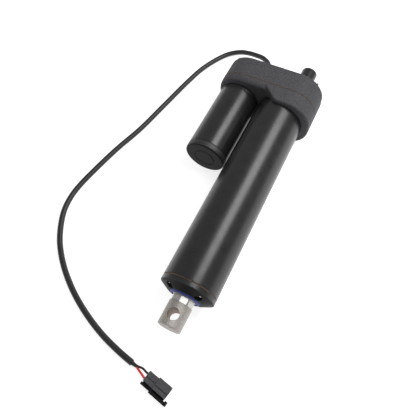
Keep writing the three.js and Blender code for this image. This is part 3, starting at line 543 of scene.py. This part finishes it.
# ---- cable ---------------------------------------------------------------------------------------
def spline_points(route, steps):
    """Points along the centripetal Catmull-Rom curve through a route."""
    points = [Vector(p) for p in route]
    points = [2 * points[0] - points[1], *points, 2 * points[-1] - points[-2]]
    result = []
    for p0, p1, p2, p3 in zip(points, points[1:], points[2:], points[3:]):
        t0 = 0.0
        t1 = t0 + (p1 - p0).length ** 0.5
        t2 = t1 + (p2 - p1).length ** 0.5
        t3 = t2 + (p3 - p2).length ** 0.5
        for k in range(steps):
            t = t1 + (t2 - t1) * k / steps
            a1 = p0.lerp(p1, (t - t0) / (t1 - t0))
            a2 = p1.lerp(p2, (t - t1) / (t2 - t1))
            a3 = p2.lerp(p3, (t - t2) / (t3 - t2))
            b1 = a1.lerp(a2, (t - t0) / (t2 - t0))
            b2 = a2.lerp(a3, (t - t1) / (t3 - t1))
            result.append(b1.lerp(b2, (t - t1) / (t2 - t1)))
    result.append(points[-2])
    return result


def strand(name, points, radius, slot, node, sides=12, end=1.0):
    """A round strand with closed ends along layout points, tapering evenly to end times its radius."""
    data = bpy.data.curves.new(name, "CURVE")
    data.dimensions = "3D"
    data.bevel_depth = radius * MM
    data.bevel_resolution = sides // 2
    data.use_fill_caps = True
    spline = data.splines.new("POLY")
    spline.points.add(len(points) - 1)
    for k, point in enumerate(points):
        spline.points[k].co = (*row(*point), 1)
        spline.points[k].radius = 1 + (end - 1) * k / (len(points) - 1)
    data.materials.append(LOOKS[slot])
    piece = add_object(name, data)
    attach(piece, "frame")
    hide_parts(node)
    return piece


cable_line = spline_points(CABLE_ROUTE, 8)
cable = strand("cable_sheath", cable_line, CABLE_R, "black_rubber", "cord_sheath", 16)
core = strand(
    "cable_core", spline_points(CORE_ROUTE, 4), CORE_R, "black_rubber", "cord_core", 14, 0.75,
)
red_wire = strand("red_wire", spline_points(RED_ROUTE, 6), WIRE_R, "red_rubber", "wire_red")
black_wire = strand(
    "black_wire", spline_points(BLACK_ROUTE, 6), WIRE_R, "black_rubber", "wire_black",
)


# ---- plug ----------------------------------------------------------------------------------------
# The plug is built along +x from its wire end, then turned and moved to its place on the floor.
def turn_plug(piece):
    for vertex in piece.data.vertices:
        x, y, z = (vertex.co - ORIGIN) / MM
        vertex.co = row(
            PLUG_AT[0] + x * math.cos(PLUG_ANGLE) - y * math.sin(PLUG_ANGLE),
            PLUG_AT[1] + x * math.sin(PLUG_ANGLE) + y * math.cos(PLUG_ANGLE),
            z,
        )
    return piece


def make_plug():
    lever_z = (2.4, 9.4)
    shade_fill_top = 5.6
    bridge_y = (-11.1, -7.4)
    wire_hole_z = (4.5, 7.9)
    lever_edge = -8.3
    plug = block("plug", (0, 16.3), (-7.9, 6.6), (1.1, 11.7))
    fuse(
        plug,
        block("front", (15.3, 34.8), (-8.2, 8.2), (0.3, 12.3)),
        block("lever_rear", (-1, 15), (-13.1, -9.6), lever_z),
        block("lever_front", (14, 41), (-14.8, -10.6), lever_z),
        block("bridge", (10, 17.5), bridge_y, lever_z),
        # a low fill between the lever and the body, where the plug shows only shade; its lever side
        # carries the painted shade
        block("web", (0, 34.8), bridge_y, (lever_z[0], shade_fill_top)),
        block("hook", (37.6, 41), (-11.1, -8.8), lever_z),
    )
    soften(plug, 0.4)
    carve(
        plug,
        block("mouth", (20, 36), (-6.6, 6.6), (1.9, 10.7)),
        block("front_groove", (15.8, 36), (-3.3, -1.9), (10.9, 13)),
        block("rear_groove", (-1, 15.3), (-2.2, -0.9), (10.4, 13)),
        block("shoulder_groove", (14.6, 15.9), (-9, 9), (10.7, 13)),
        block("red_hole", (-1, 6), (-7.3, -3.9), wire_hole_z),
        block("black_hole", (-1, 6), (0.2, 3.6), wire_hole_z),
    )
    turn_plug(plug)

    # painted shade: the lever's faces get a darker black than the rest of the plug, standing in for the
    # shade the lever lies in
    def on_lever(centre, normal):
        x, y = centre.x - PLUG_AT[0], centre.y - PLUG_AT[1]
        return y * math.cos(PLUG_ANGLE) - x * math.sin(PLUG_ANGLE) < lever_edge

    return place(
        plug, "black_plastic", "frame", "plug_housing", look="plug_plastic",
        regions=[("painted_shade_black", on_lever)],
    )


plug = make_plug()


# ---- gearbox -------------------------------------------------------------------------------------
CORNER_STEPS = 14
STRAIGHT_STEPS = 44


def box_outline(inset):
    """The rounded rectangle of the gearbox, moved inwards. It starts below its top right corner."""
    radius = BOX_CORNER - inset
    right = BOX_HIGH.x - BOX_CORNER
    left = BOX_LOW.x + BOX_CORNER
    rise = BOX_HIGH.z - AXIS - BOX_CORNER

    def arc(x, z, quarter):
        angles = [math.pi / 2 * (quarter + k / CORNER_STEPS) for k in range(CORNER_STEPS + 1)]
        return [(x + radius * math.cos(a), z + radius * math.sin(a)) for a in angles]

    def straight(start, end):
        steps = range(1, STRAIGHT_STEPS)
        return [tuple(Vector(start).lerp(Vector(end), k / STRAIGHT_STEPS)) for k in steps]

    top = arc(right, AXIS + rise, 0)
    top_left = arc(left, AXIS + rise, 1)
    bottom_left = arc(left, AXIS - rise, 2)
    bottom = arc(right, AXIS - rise, 3)
    return [
        *top, *straight(top[-1], top_left[0]), *top_left,
        *bottom_left, *straight(bottom_left[-1], bottom[0]), *bottom,
    ]


def box_ring(inset, y):
    return [(x, y, z) for x, z in box_outline(inset)]


def middle_of(node):
    low, high = span(node)
    return (low.x + high.x) / 2, (low.z + high.z) / 2


COVER_SCREWS = [middle_of(f"cover_screw_{i}") for i in range(1, 7)]
IDLER = middle_of("idler_gear")
MOTOR_SCREWS = [middle_of(f"motor_screw_{i}") for i in (1, 2)]
BOSS_R = 5.5


def gear_hollow(y_back, y_front):
    """The room for the gears: the outline less a wall, and less the screw bosses."""
    hollow = prism("hollow", box_outline(BOX_WALL), y_back, y_front)
    bosses = [rod("boss", BOSS_R, x, z, y_back + 1, y_front - 1, 24) for x, z in COVER_SCREWS]
    return carve(hollow, *bosses)


def screw_holes(y_back, y_front):
    radius = COVER_SCREW_R + GAP
    return [rod("hole", radius, x, z, y_back, y_front, 24) for x, z in COVER_SCREWS]


def make_rear_cover():
    fillet = 2.6
    fillet_steps = 6
    edge_break = 0.4
    boss_back = -BOX_WALL + 1
    boss_front = -12
    seat_back = -6
    seat_front = boss_front - 2
    rings = []
    for k in range(fillet_steps + 1):
        angle = math.pi / 2 * k / fillet_steps
        inset = fillet * (1 - math.sin(angle))
        rings.append(box_ring(inset, -fillet * (1 - math.cos(angle))))
    rings.append(box_ring(0, COVER_FRONT + edge_break))
    rings.append(box_ring(0.3 * edge_break, COVER_FRONT + 0.3 * edge_break))
    rings.append(box_ring(edge_break, COVER_FRONT))
    cover = lofted("gearbox_cover", rings)
    carve(cover, gear_hollow(-BOX_WALL, COVER_FRONT - 1))
    fuse(
        cover,
        rod("bush_boss", SCREW_BUSH_R + 4, 0, AXIS, boss_back, boss_front),
        rod("idler_boss", GEAR_SHAFT_R + 4, *IDLER, boss_back, boss_front),
    )
    carve(
        cover,
        *screw_holes(1, COVER_FRONT - 2),
        rod("bush_seat", SCREW_BUSH_R + GAP, 0, AXIS, seat_back, seat_front),
        rod("idler_seat", GEAR_SHAFT_R + GAP, *IDLER, seat_back, seat_front, 24),
        rod("cable_hole", CABLE_R + 1, *GLAND, 1, -7),
    )
    return place(cover, "casting", "frame", "rear_cover")


def smooth_step(t):
    t = min(1.0, max(0.0, t))
    return t * t * (3 - 2 * t)


def housing_front(x, inset):
    """The front of the housing at x, as far in from the outline as inset."""
    motor_depth = HOUSING_BACK - MOTOR_SIDE_FRONT
    tube_depth = HOUSING_BACK - HOUSING_FRONT
    widening_start = MOTOR_X - 26
    widening_run = 30
    flank_ends = 0.22
    blend = 0.5
    least_depth = 0.5
    inward = smooth_step((x - widening_start) / widening_run)
    motor_round = MOTOR_SIDE_ROUND[0] + (MOTOR_SIDE_ROUND[1] - MOTOR_SIDE_ROUND[0]) * inward
    motor = motor_depth * quarter_round(inset / motor_round)
    rise = soft_ramp((x - FLANK[0]) / (FLANK[1] - FLANK[0]), flank_ends)
    tube = tube_depth * rise - EDGE_ROUND * (1 - quarter_round(inset / EDGE_ROUND))
    depth = (motor + tube + math.hypot(motor - tube, blend)) / 2
    return HOUSING_BACK - min(max(depth, least_depth), tube_depth)


def quarter_round(t):
    """The height of a quarter circle at the share t of its run."""
    return math.sqrt(1 - (1 - min(1.0, t)) ** 2)


def soft_ramp(t, ends):
    """From 0 to 1 in a straight line, with a rounded start and finish."""
    t = min(1.0, max(0.0, t))
    if t < ends:
        return t * t / (2 * ends * (1 - ends))
    if t > 1 - ends:
        return 1 - (1 - t) ** 2 / (2 * ends * (1 - ends))
    return (t - ends / 2) / (1 - ends)


def make_front_housing():
    edge_break = 0.4
    edge_steps = 8
    pinion_hole_r = 10
    through = 20
    rings = [box_ring(edge_break, HOUSING_BACK), box_ring(0, HOUSING_BACK - edge_break)]
    turns = [math.pi / 2 * k / edge_steps for k in range(edge_steps + 1)]
    edge = [EDGE_ROUND * (1 - math.cos(turn)) for turn in turns]
    flat = [3.3, 3.6, 4, 4.5, 5, 5.6, 6.3, 7, 8, 9.5, 11, 15, 20, 26, 32, 38, 39.9]
    for inset in edge + flat:
        rings.append([(x, housing_front(x, inset), z) for x, z in box_outline(inset)])
    count = len(rings[0])
    numbers = [list(range(i * count, (i + 1) * count)) for i in range(len(rings))]
    last = numbers[-1]
    middle = [
        (last[i], last[i + 1], last[count - 2 - i], last[count - 1 - i])
        for i in range(count // 2 - 1)
    ]
    faces = bands(numbers) + [numbers[0]] + middle
    housing = mesh_object("gearbox_housing", [p for ring in rings for p in ring], faces)
    carve(housing, gear_hollow(HOUSING_BACK + 1, PLATE_BACK))
    fuse(housing, rod("hub", SCREW_BEARING_R + 3.5, 0, AXIS, HUB_BACK, HUB_BACK - 4, 64))
    carve(
        housing,
        rod("tube_seat", TUBE_R + GAP, 0, AXIS, PLATE_FRONT, PLATE_FRONT - through, 120),
        rod("bearing_seat", SCREW_BEARING_R + GAP, 0, AXIS, HUB_BACK + 1, HUB_BACK - 8.3, 64),
        rod("screw_hole", SCREW_BEARING_R - 3, 0, AXIS, HUB_BACK, HUB_BACK - through, 64),
        rod("motor_seat", MOTOR_R + GAP, MOTOR_X, AXIS, MOTOR_SEAT, MOTOR_SEAT - through, 120),
        rod("pinion_hole", pinion_hole_r, MOTOR_X, AXIS, PLATE_BACK + 1, PLATE_BACK + 1 - through),
        rod("idler_seat", GEAR_SHAFT_R + GAP, *IDLER, PLATE_BACK + 1, PLATE_BACK - 2.8, 24),
        *[
            rod("hole", MOTOR_SCREW_R + GAP, x, z, PLATE_BACK + 1, PLATE_BACK + 1 - through, 24)
            for x, z in MOTOR_SCREWS
        ],
        *screw_holes(HOUSING_BACK + 1, HOUSING_BACK - 6),
    )
    return place(housing, "casting", "frame", "front_housing")


def make_housing_gasket():
    low, high = span("housing_gasket")
    gasket = prism("gearbox_gasket", box_outline(0.05), high.y, low.y)
    carve(gasket, gear_hollow(high.y + 1, low.y - 1), *screw_holes(high.y + 1, low.y - 1))
    return place(gasket, "gasket", "frame", "housing_gasket")


make_rear_cover()
make_front_housing()
make_housing_gasket()


def cross_recess(name, x, z, y_top, depth):
    """The cross-shaped recess of a screw head, narrower at the bottom."""
    reach = 2.3
    h = 0.375
    taper = 0.55
    corners = [
        (reach, -h), (reach, h), (h, h), (h, reach), (-h, reach), (-h, h),
        (-reach, h), (-reach, -h), (-h, -h), (-h, -reach), (h, -reach), (h, -h),
    ]
    top = [(x + px, y_top + 0.5, z + pz) for px, pz in corners]
    bottom = [(x + taper * px, y_top - depth, z + taper * pz) for px, pz in corners]
    return lofted(name, [top, bottom])


def make_cover_screw(number):
    """A pan-head screw with a cross recess."""
    node = f"cover_screw_{number}"
    low, high = span(node)
    x, z = middle_of(node)
    head_r = (high.x - low.x) / 2
    head_height = 3.6
    crown = 1.9
    seat = high.y - head_height
    profile = rounded([
        (0, high.y), (head_r * 0.62, high.y), (head_r, high.y - crown), (head_r, seat),
        (COVER_SCREW_R, seat), (COVER_SCREW_R, low.y + 0.8), (COVER_SCREW_R - 0.6, low.y), (0, low.y),
    ], 0.8, closed=False)
    screw = turned(f"cover_screw_{number}_fine", profile, x, z, 40)
    carve(screw, cross_recess("recess", x, z, high.y, crown))
    return place(screw, "stainless", "frame", node)


for number in range(1, 7):
    make_cover_screw(number)


def make_rear_lug():
    low, high = span("rear_lug")
    x = (low.x + high.x) / 2
    base_r = (high.x - low.x) / 2
    lug_r = 13
    hole_y = 26
    hole_r = 4.2
    profile = rounded([
        (0, low.y), (base_r, low.y), (base_r, low.y + 2.8), (lug_r + 2.2, low.y + 3.9),
        (lug_r, low.y + 3.9), (lug_r, high.y - 1.4), (lug_r - 1.4, high.y), (0, high.y),
    ], 0.6, closed=False)
    lug = turned("mounting_lug", profile, x, AXIS, 80)
    carve(lug, pin("lug_hole", hole_r, x, hole_y, AXIS - 20, AXIS + 20, 48))
    soften(lug, 0.35, 2, 40)
    return place(lug, "black_paint", "frame", "rear_lug")


make_rear_lug()


def make_cable_gland():
    """A nut on the gearbox and a ribbed, tapered neck that carries the cable."""
    low, high = span("cable_gland")
    x, z = GLAND
    bore = CABLE_R + 0.25
    nut_r = (high.x - low.x) / 2
    nut_end = low.y + 5.7
    collar_r = 8.4
    first_rib_r = 7.9
    taper = 2.2
    nut = prism("cable_gland_fine", circle(nut_r, 6, x, z), low.y, nut_end)
    soften(nut, 0.5)
    corners = [(bore, nut_end - 1), (collar_r, nut_end - 1), (collar_r, nut_end + 1.2)]
    ribs = 6
    pitch = (high.y - nut_end - 2) / ribs
    for k in range(ribs):
        start = nut_end + 1.6 + k * pitch
        outer = first_rib_r - taper * k / (ribs - 1)
        corners += [(outer - 0.7, start), (outer, start + 0.3), (outer, start + 0.6 * pitch)]
        corners += [(outer - 0.8, start + 0.75 * pitch)]
    corners += [(bore + 0.5, high.y - 0.1), (bore, high.y)]
    neck = turned("neck", rounded(corners, 0.25, 2), x, z, 48)
    fuse(nut, neck)
    carve(nut, rod("bore", bore, x, z, low.y - 1, high.y + 1))
    return place(nut, "black_plastic", "frame", "cable_gland")


make_cable_gland()


# ---- drive tube and front cap --------------------------------------------------------------------
PORTS = [(sx * PORT_OFFSET, AXIS + sz * PORT_OFFSET) for sx, sz in ((1, 1), (-1, 1), (-1, -1), (1, -1))]


def make_drive_tube():
    low, high = span("outer_tube")
    bore = rod("bore", TUBE_BORE_R, 0, AXIS, high.y + 1, low.y - 1, 96)
    half_width = 4
    reach = 12
    webs = []
    for x, z in PORTS:
        out = Vector((x, z - AXIS)).normalized()
        side = Vector((-out.y, out.x)) * half_width
        near = Vector((x, z))
        far = near + out * reach
        outline = [tuple(near - side), tuple(far - side), tuple(far + side), tuple(near + side)]
        webs.append(prism("web", outline, high.y + 2, low.y - 2))
        webs.append(rod("port", PORT_R, x, z, high.y + 2, low.y - 2, 32))
    carve(bore, *webs)
    profile = rounded([(0, high.y), (TUBE_R, high.y), (TUBE_R, low.y), (0, low.y)], 0.4, 3, False)
    tube = turned("drive_tube", profile, 0, AXIS, 144)
    holes = [rod("hole", PORT_HOLE_R, x, z, high.y + 1, low.y - 1, 20) for x, z in PORTS]
    carve(tube, bore, *holes)
    return place(tube, "black_paint", "frame", "outer_tube")


make_drive_tube()


def make_cap_gasket():
    low, high = span("cap_gasket")
    outer = TUBE_R - 0.1
    inner = 23
    profile = [(inner, high.y), (outer, high.y), (outer, low.y), (inner, low.y)]
    gasket = turned("tube_gasket", profile, 0, AXIS, 120)
    holes = [rod("hole", CAP_SCREW_HOLE_R, x, z, high.y + 1, low.y - 1, 20) for x, z in PORTS]
    carve(gasket, *holes)
    return place(gasket, "gasket", "frame", "cap_gasket")


make_cap_gasket()


def make_front_cap():
    high = span("front_cap")[1]
    spigot_r = 22.6
    bush_r = 19.3
    seal_seat = CAP_FRONT + 4.3
    profile = rounded([
        (bush_r, high.y), (spigot_r, high.y), (spigot_r, CAP_BACK), (TUBE_R, CAP_BACK),
        (TUBE_R, CAP_CONE_BACK), (CAP_HUB_R, CAP_FRONT), (SEAL_R + 0.9, CAP_FRONT),
        (SEAL_R + GAP, CAP_FRONT + 0.6), (SEAL_R + GAP, seal_seat), (bush_r, seal_seat),
    ], 0.5)
    cap = turned("tube_cap", profile, 0, AXIS, 144)
    pocket = rounded([
        (0, POCKET_FLOOR), (POCKET_R, POCKET_FLOOR), (POCKET_R, CAP_FRONT + 0.4),
        (POCKET_R + 0.6, CAP_FRONT - 0.5), (0, CAP_FRONT - 0.5),
    ], 0.2, 2, False)
    for x, z in PORTS:
        carve(cap, turned("pocket", pocket, x, z, 48))
        carve(cap, rod("hole", CAP_SCREW_HOLE_R, x, z, CAP_BACK + 1, CAP_FRONT - 1, 20))

    # painted shade: the face inside the tube's rim gets a darker, duller copy of the black paint
    def on_front(centre, normal):
        return math.hypot(centre.x, centre.z - AXIS) < TUBE_R - 0.6

    return place(
        cap, "black_paint", "frame", "front_cap", regions=[("painted_shade_black", on_front)],
    )


make_front_cap()


def make_cap_screw(number):
    """A cheese-head screw with a hexagon socket."""
    node = f"cap_screw_{number}"
    low, high = span(node)
    x, z = middle_of(node)
    head_r = (high.x - low.x) / 2
    seat = POCKET_FLOOR - GAP
    chamfer = 0.7
    socket_r = 1.7
    socket_depth = 1.8
    profile = rounded([
        (0, high.y), (1.5, high.y), (CAP_SCREW_R, high.y - 0.8), (CAP_SCREW_R, seat), (head_r, seat),
        (head_r, low.y + chamfer), (head_r - chamfer, low.y), (0, low.y),
    ], 0.3, 3, False)
    screw = turned(f"cap_screw_{number}_fine", profile, x, z, 40)
    carve(screw, prism("socket", circle(socket_r, 6, x, z), low.y + socket_depth, low.y - 1))
    return place(screw, "stainless", "frame", node)


for number in range(1, 5):
    make_cap_screw(number)


def make_wiper_seal():
    """A ring with a bevelled outer rim and a wiping lip on the rod."""
    low, high = span("wiper_seal")
    bore = ROD_R + 0.35
    profile = rounded([
        (bore + 1.5, high.y), (SEAL_R, high.y), (SEAL_R, low.y + 1), (SEAL_R - 1.1, low.y),
        (SEAL_R - 2.2, low.y), (SEAL_R - 2.7, low.y + 0.7), (bore + 1.4, low.y + 0.7),
        (bore + 0.3, low.y), (bore, low.y + 0.2), (bore, low.y + 2.4),
    ], 0.3, 3)
    return place(turned("seal_ring", profile, 0, AXIS, 96), "blue_rubber", "frame", "wiper_seal")


make_wiper_seal()


# ---- rod -----------------------------------------------------------------------------------------
def make_rod_tube():
    low, high = span("rod_tube")
    profile = rounded([
        (ROD_BORE_R, high.y), (ROD_R, high.y), (ROD_R, low.y), (ROD_BORE_R, low.y),
    ], 0.4, 3)
    return place(turned("rod", profile, 0, AXIS, 96), "stainless", "rod", "rod_tube")


make_rod_tube()


def neck_outline():
    """The round neck of the rod end with its spanner flats."""
    half = math.acos(FLAT_ACROSS / 2 / NECK_R)
    pitch = 2 * math.pi / SPANNER_FLATS
    angles = []
    for k in range(SPANNER_FLATS):
        middle = FLATS_TURN + k * pitch
        angles += [middle - half, middle + half]
        angles += [middle + half + (pitch - 2 * half) * share for share in (0.25, 0.5, 0.75)]
    return [(NECK_R * math.cos(a), AXIS + NECK_R * math.sin(a)) for a in angles]


def make_rod_end():
    """Eight spanner flats, then a round eye with a chamfered cross hole."""
    low, high = span("rod_end")
    flats_back = span("rod_tube")[0].y - GAP
    chamfer = 1.3
    eye = turned("rod_end_fine", rounded([
        (0, FLATS_FRONT), (ROD_R - 0.2, FLATS_FRONT), (ROD_R, FLATS_FRONT - 0.4),
        (ROD_R, low.y + chamfer), (ROD_R - chamfer, low.y), (0, low.y),
    ], 0.3, 3, False), 0, AXIS, 96)
    flats = prism("flats", neck_outline(), flats_back, FLATS_FRONT - 1)
    spigot = rod("spigot", ROD_BORE_R - GAP, 0, AXIS, high.y, flats_back - 1, 64)
    fuse(eye, flats, spigot)
    carve(eye, pin("eye", EYE_R, 0, EYE_Y, AXIS - 20, AXIS + 20, 72))
    soften(eye, 0.35, 3, 28)

    # painted shade: the wall of the cross hole gets a darker, browner steel, with the bore's own
    # lengthwise streaks
    def in_hole(centre, normal):
        off_axis = math.hypot(centre.x, centre.y - EYE_Y)
        return off_axis < EYE_R + 0.1 and abs(normal.z) < 0.3

    def on_neck(centre, normal):
        return centre.y > FLATS_FRONT - 0.2

    regions = (("bore_finish_and_shade", in_hole), ("stainless", on_neck))
    return place(eye, "stainless", "rod", "rod_end", look="blasted_steel", regions=regions)


make_rod_end()


# ---- motor ---------------------------------------------------------------------------------------
def make_motor_can():
    high = span("motor_can")[1]
    collar_back = MOTOR_SIDE_FRONT - 1
    rise = 0.7
    profile = rounded([
        (MOTOR_BORE_R, high.y), (MOTOR_R, high.y), (MOTOR_R, collar_back + 0.5),
        (MOTOR_R + rise, collar_back), (MOTOR_R + rise, collar_back - 2.5),
        (MOTOR_R, collar_back - 3), (MOTOR_R, CAN_FRONT), (MOTOR_BORE_R, CAN_FRONT),
    ], 0.35, 3)
    return place(turned("motor_tube", profile, MOTOR_X, AXIS, 144), "black_paint", "frame", "motor_can")


make_motor_can()


def make_motor_end_cap():
    high = span("motor_end_cap")[1]
    fit_r = 29.2
    bearing_seat_r = 9.3
    bearing_seat_front = -168.1
    shaft_room_r = 5
    shaft_room_front = -172.5
    groove_r = 15.2
    groove = [
        (groove_r, MOTOR_TIP), (groove_r + 0.2, MOTOR_TIP + 0.8),
        (groove_r + 1.2, MOTOR_TIP + 0.8), (groove_r + 1.4, MOTOR_TIP),
    ]
    profile = rounded([
        (0, MOTOR_TIP), *groove, (MOTOR_R - 2.6, MOTOR_TIP), (MOTOR_R - 0.5, MOTOR_TIP + 1.2),
        (MOTOR_R, MOTOR_TIP + 3), (MOTOR_R, CAN_FRONT - GAP), (fit_r, CAN_FRONT - GAP),
        (fit_r, high.y), (bearing_seat_r, high.y), (bearing_seat_r, bearing_seat_front),
        (shaft_room_r, bearing_seat_front), (shaft_room_r, shaft_room_front), (0, shaft_room_front),
    ], 0.7, 4, False)
    cap = turned("motor_cap", profile, MOTOR_X, AXIS, 144)

    # painted shade: the end face gets a darker copy of the black plastic
    def on_face(centre, normal):
        return centre.y < MOTOR_TIP + 1

    return place(
        cap, "black_plastic", "frame", "motor_end_cap", regions=[("painted_shade_black", on_face)],
    )


make_motor_end_cap()


# ---- CAD nodes that are shown as they are --------------------------------------------------------
NODE_SLOTS = {s["node"]: s["material_slot"] for s in frame["record"]["subparts"]}
for name, node in frame["nodes"].items():
    if not node.hide_render:
        node.data.materials.clear()
        node.data.materials.append(LOOKS[NODE_SLOTS[name]])


# ---- studio --------------------------------------------------------------------------------------
def make_floor():
    """A pale sheet, fine enough to carry a faint unevenness."""
    size = 5
    cells = 50
    drop = 0.0002
    ripple = 0.00005
    glow = 0.74
    body = bmesh.new()
    bmesh.ops.create_grid(body, x_segments=cells, y_segments=cells, size=size / 2)
    for vertex in body.verts:
        vertex.co.z = -drop - ripple * math.sin(7 * vertex.co.x) * math.cos(5 * vertex.co.y)
    mesh = bpy.data.meshes.new("floor")
    body.to_mesh(mesh)
    body.free()
    mesh.shade_smooth()
    pale = surface(
        "floor", (0.66, 0.66, 0.66), (0.70, 0.70, 0.70), (0.7, 0.7, 0.7), 0.6,
        blotch=60, grain=2, bump=0.01, wear=0,
    )
    shader = pale.node_tree.nodes["Principled BSDF"]
    shader.inputs["Emission Color"].default_value = (1, 1, 1, 1)
    shader.inputs["Emission Strength"].default_value = glow
    mesh.materials.append(pale)
    add_object("floor", mesh)


make_floor()


def make_light(name, at, along, target, size, radiance):
    """A rectangular soft light of that radiance, aimed at the target, its long side along a line."""
    data = bpy.data.lights.new(name, "AREA")
    data.shape = "RECTANGLE"
    data.size, data.size_y = size
    data.energy = radiance * math.pi * size[0] * size[1]
    light = add_object(name, data)
    back = (row(*at) - row(*target)).normalized()
    side = Vector(along).cross(back).normalized()
    light.matrix_world = facing(side, back.cross(side), back, row(*at))


make_light(
    "key_light",
    at=(292, 119, 731),
    along=(0.1, -1, 0.2),
    target=(-10, -190, 70),
    size=(0.37, 0.66),
    radiance=6.8,
)


def make_world():
    world = bpy.data.worlds.new("studio")
    world.use_nodes = True
    background = world.node_tree.nodes["Background"]
    background.inputs["Color"].default_value = (1, 1, 1, 1)
    background.inputs["Strength"].default_value = 0.45
    bpy.context.scene.world = world
    bpy.context.scene.view_settings.view_transform = "Standard"


make_world()
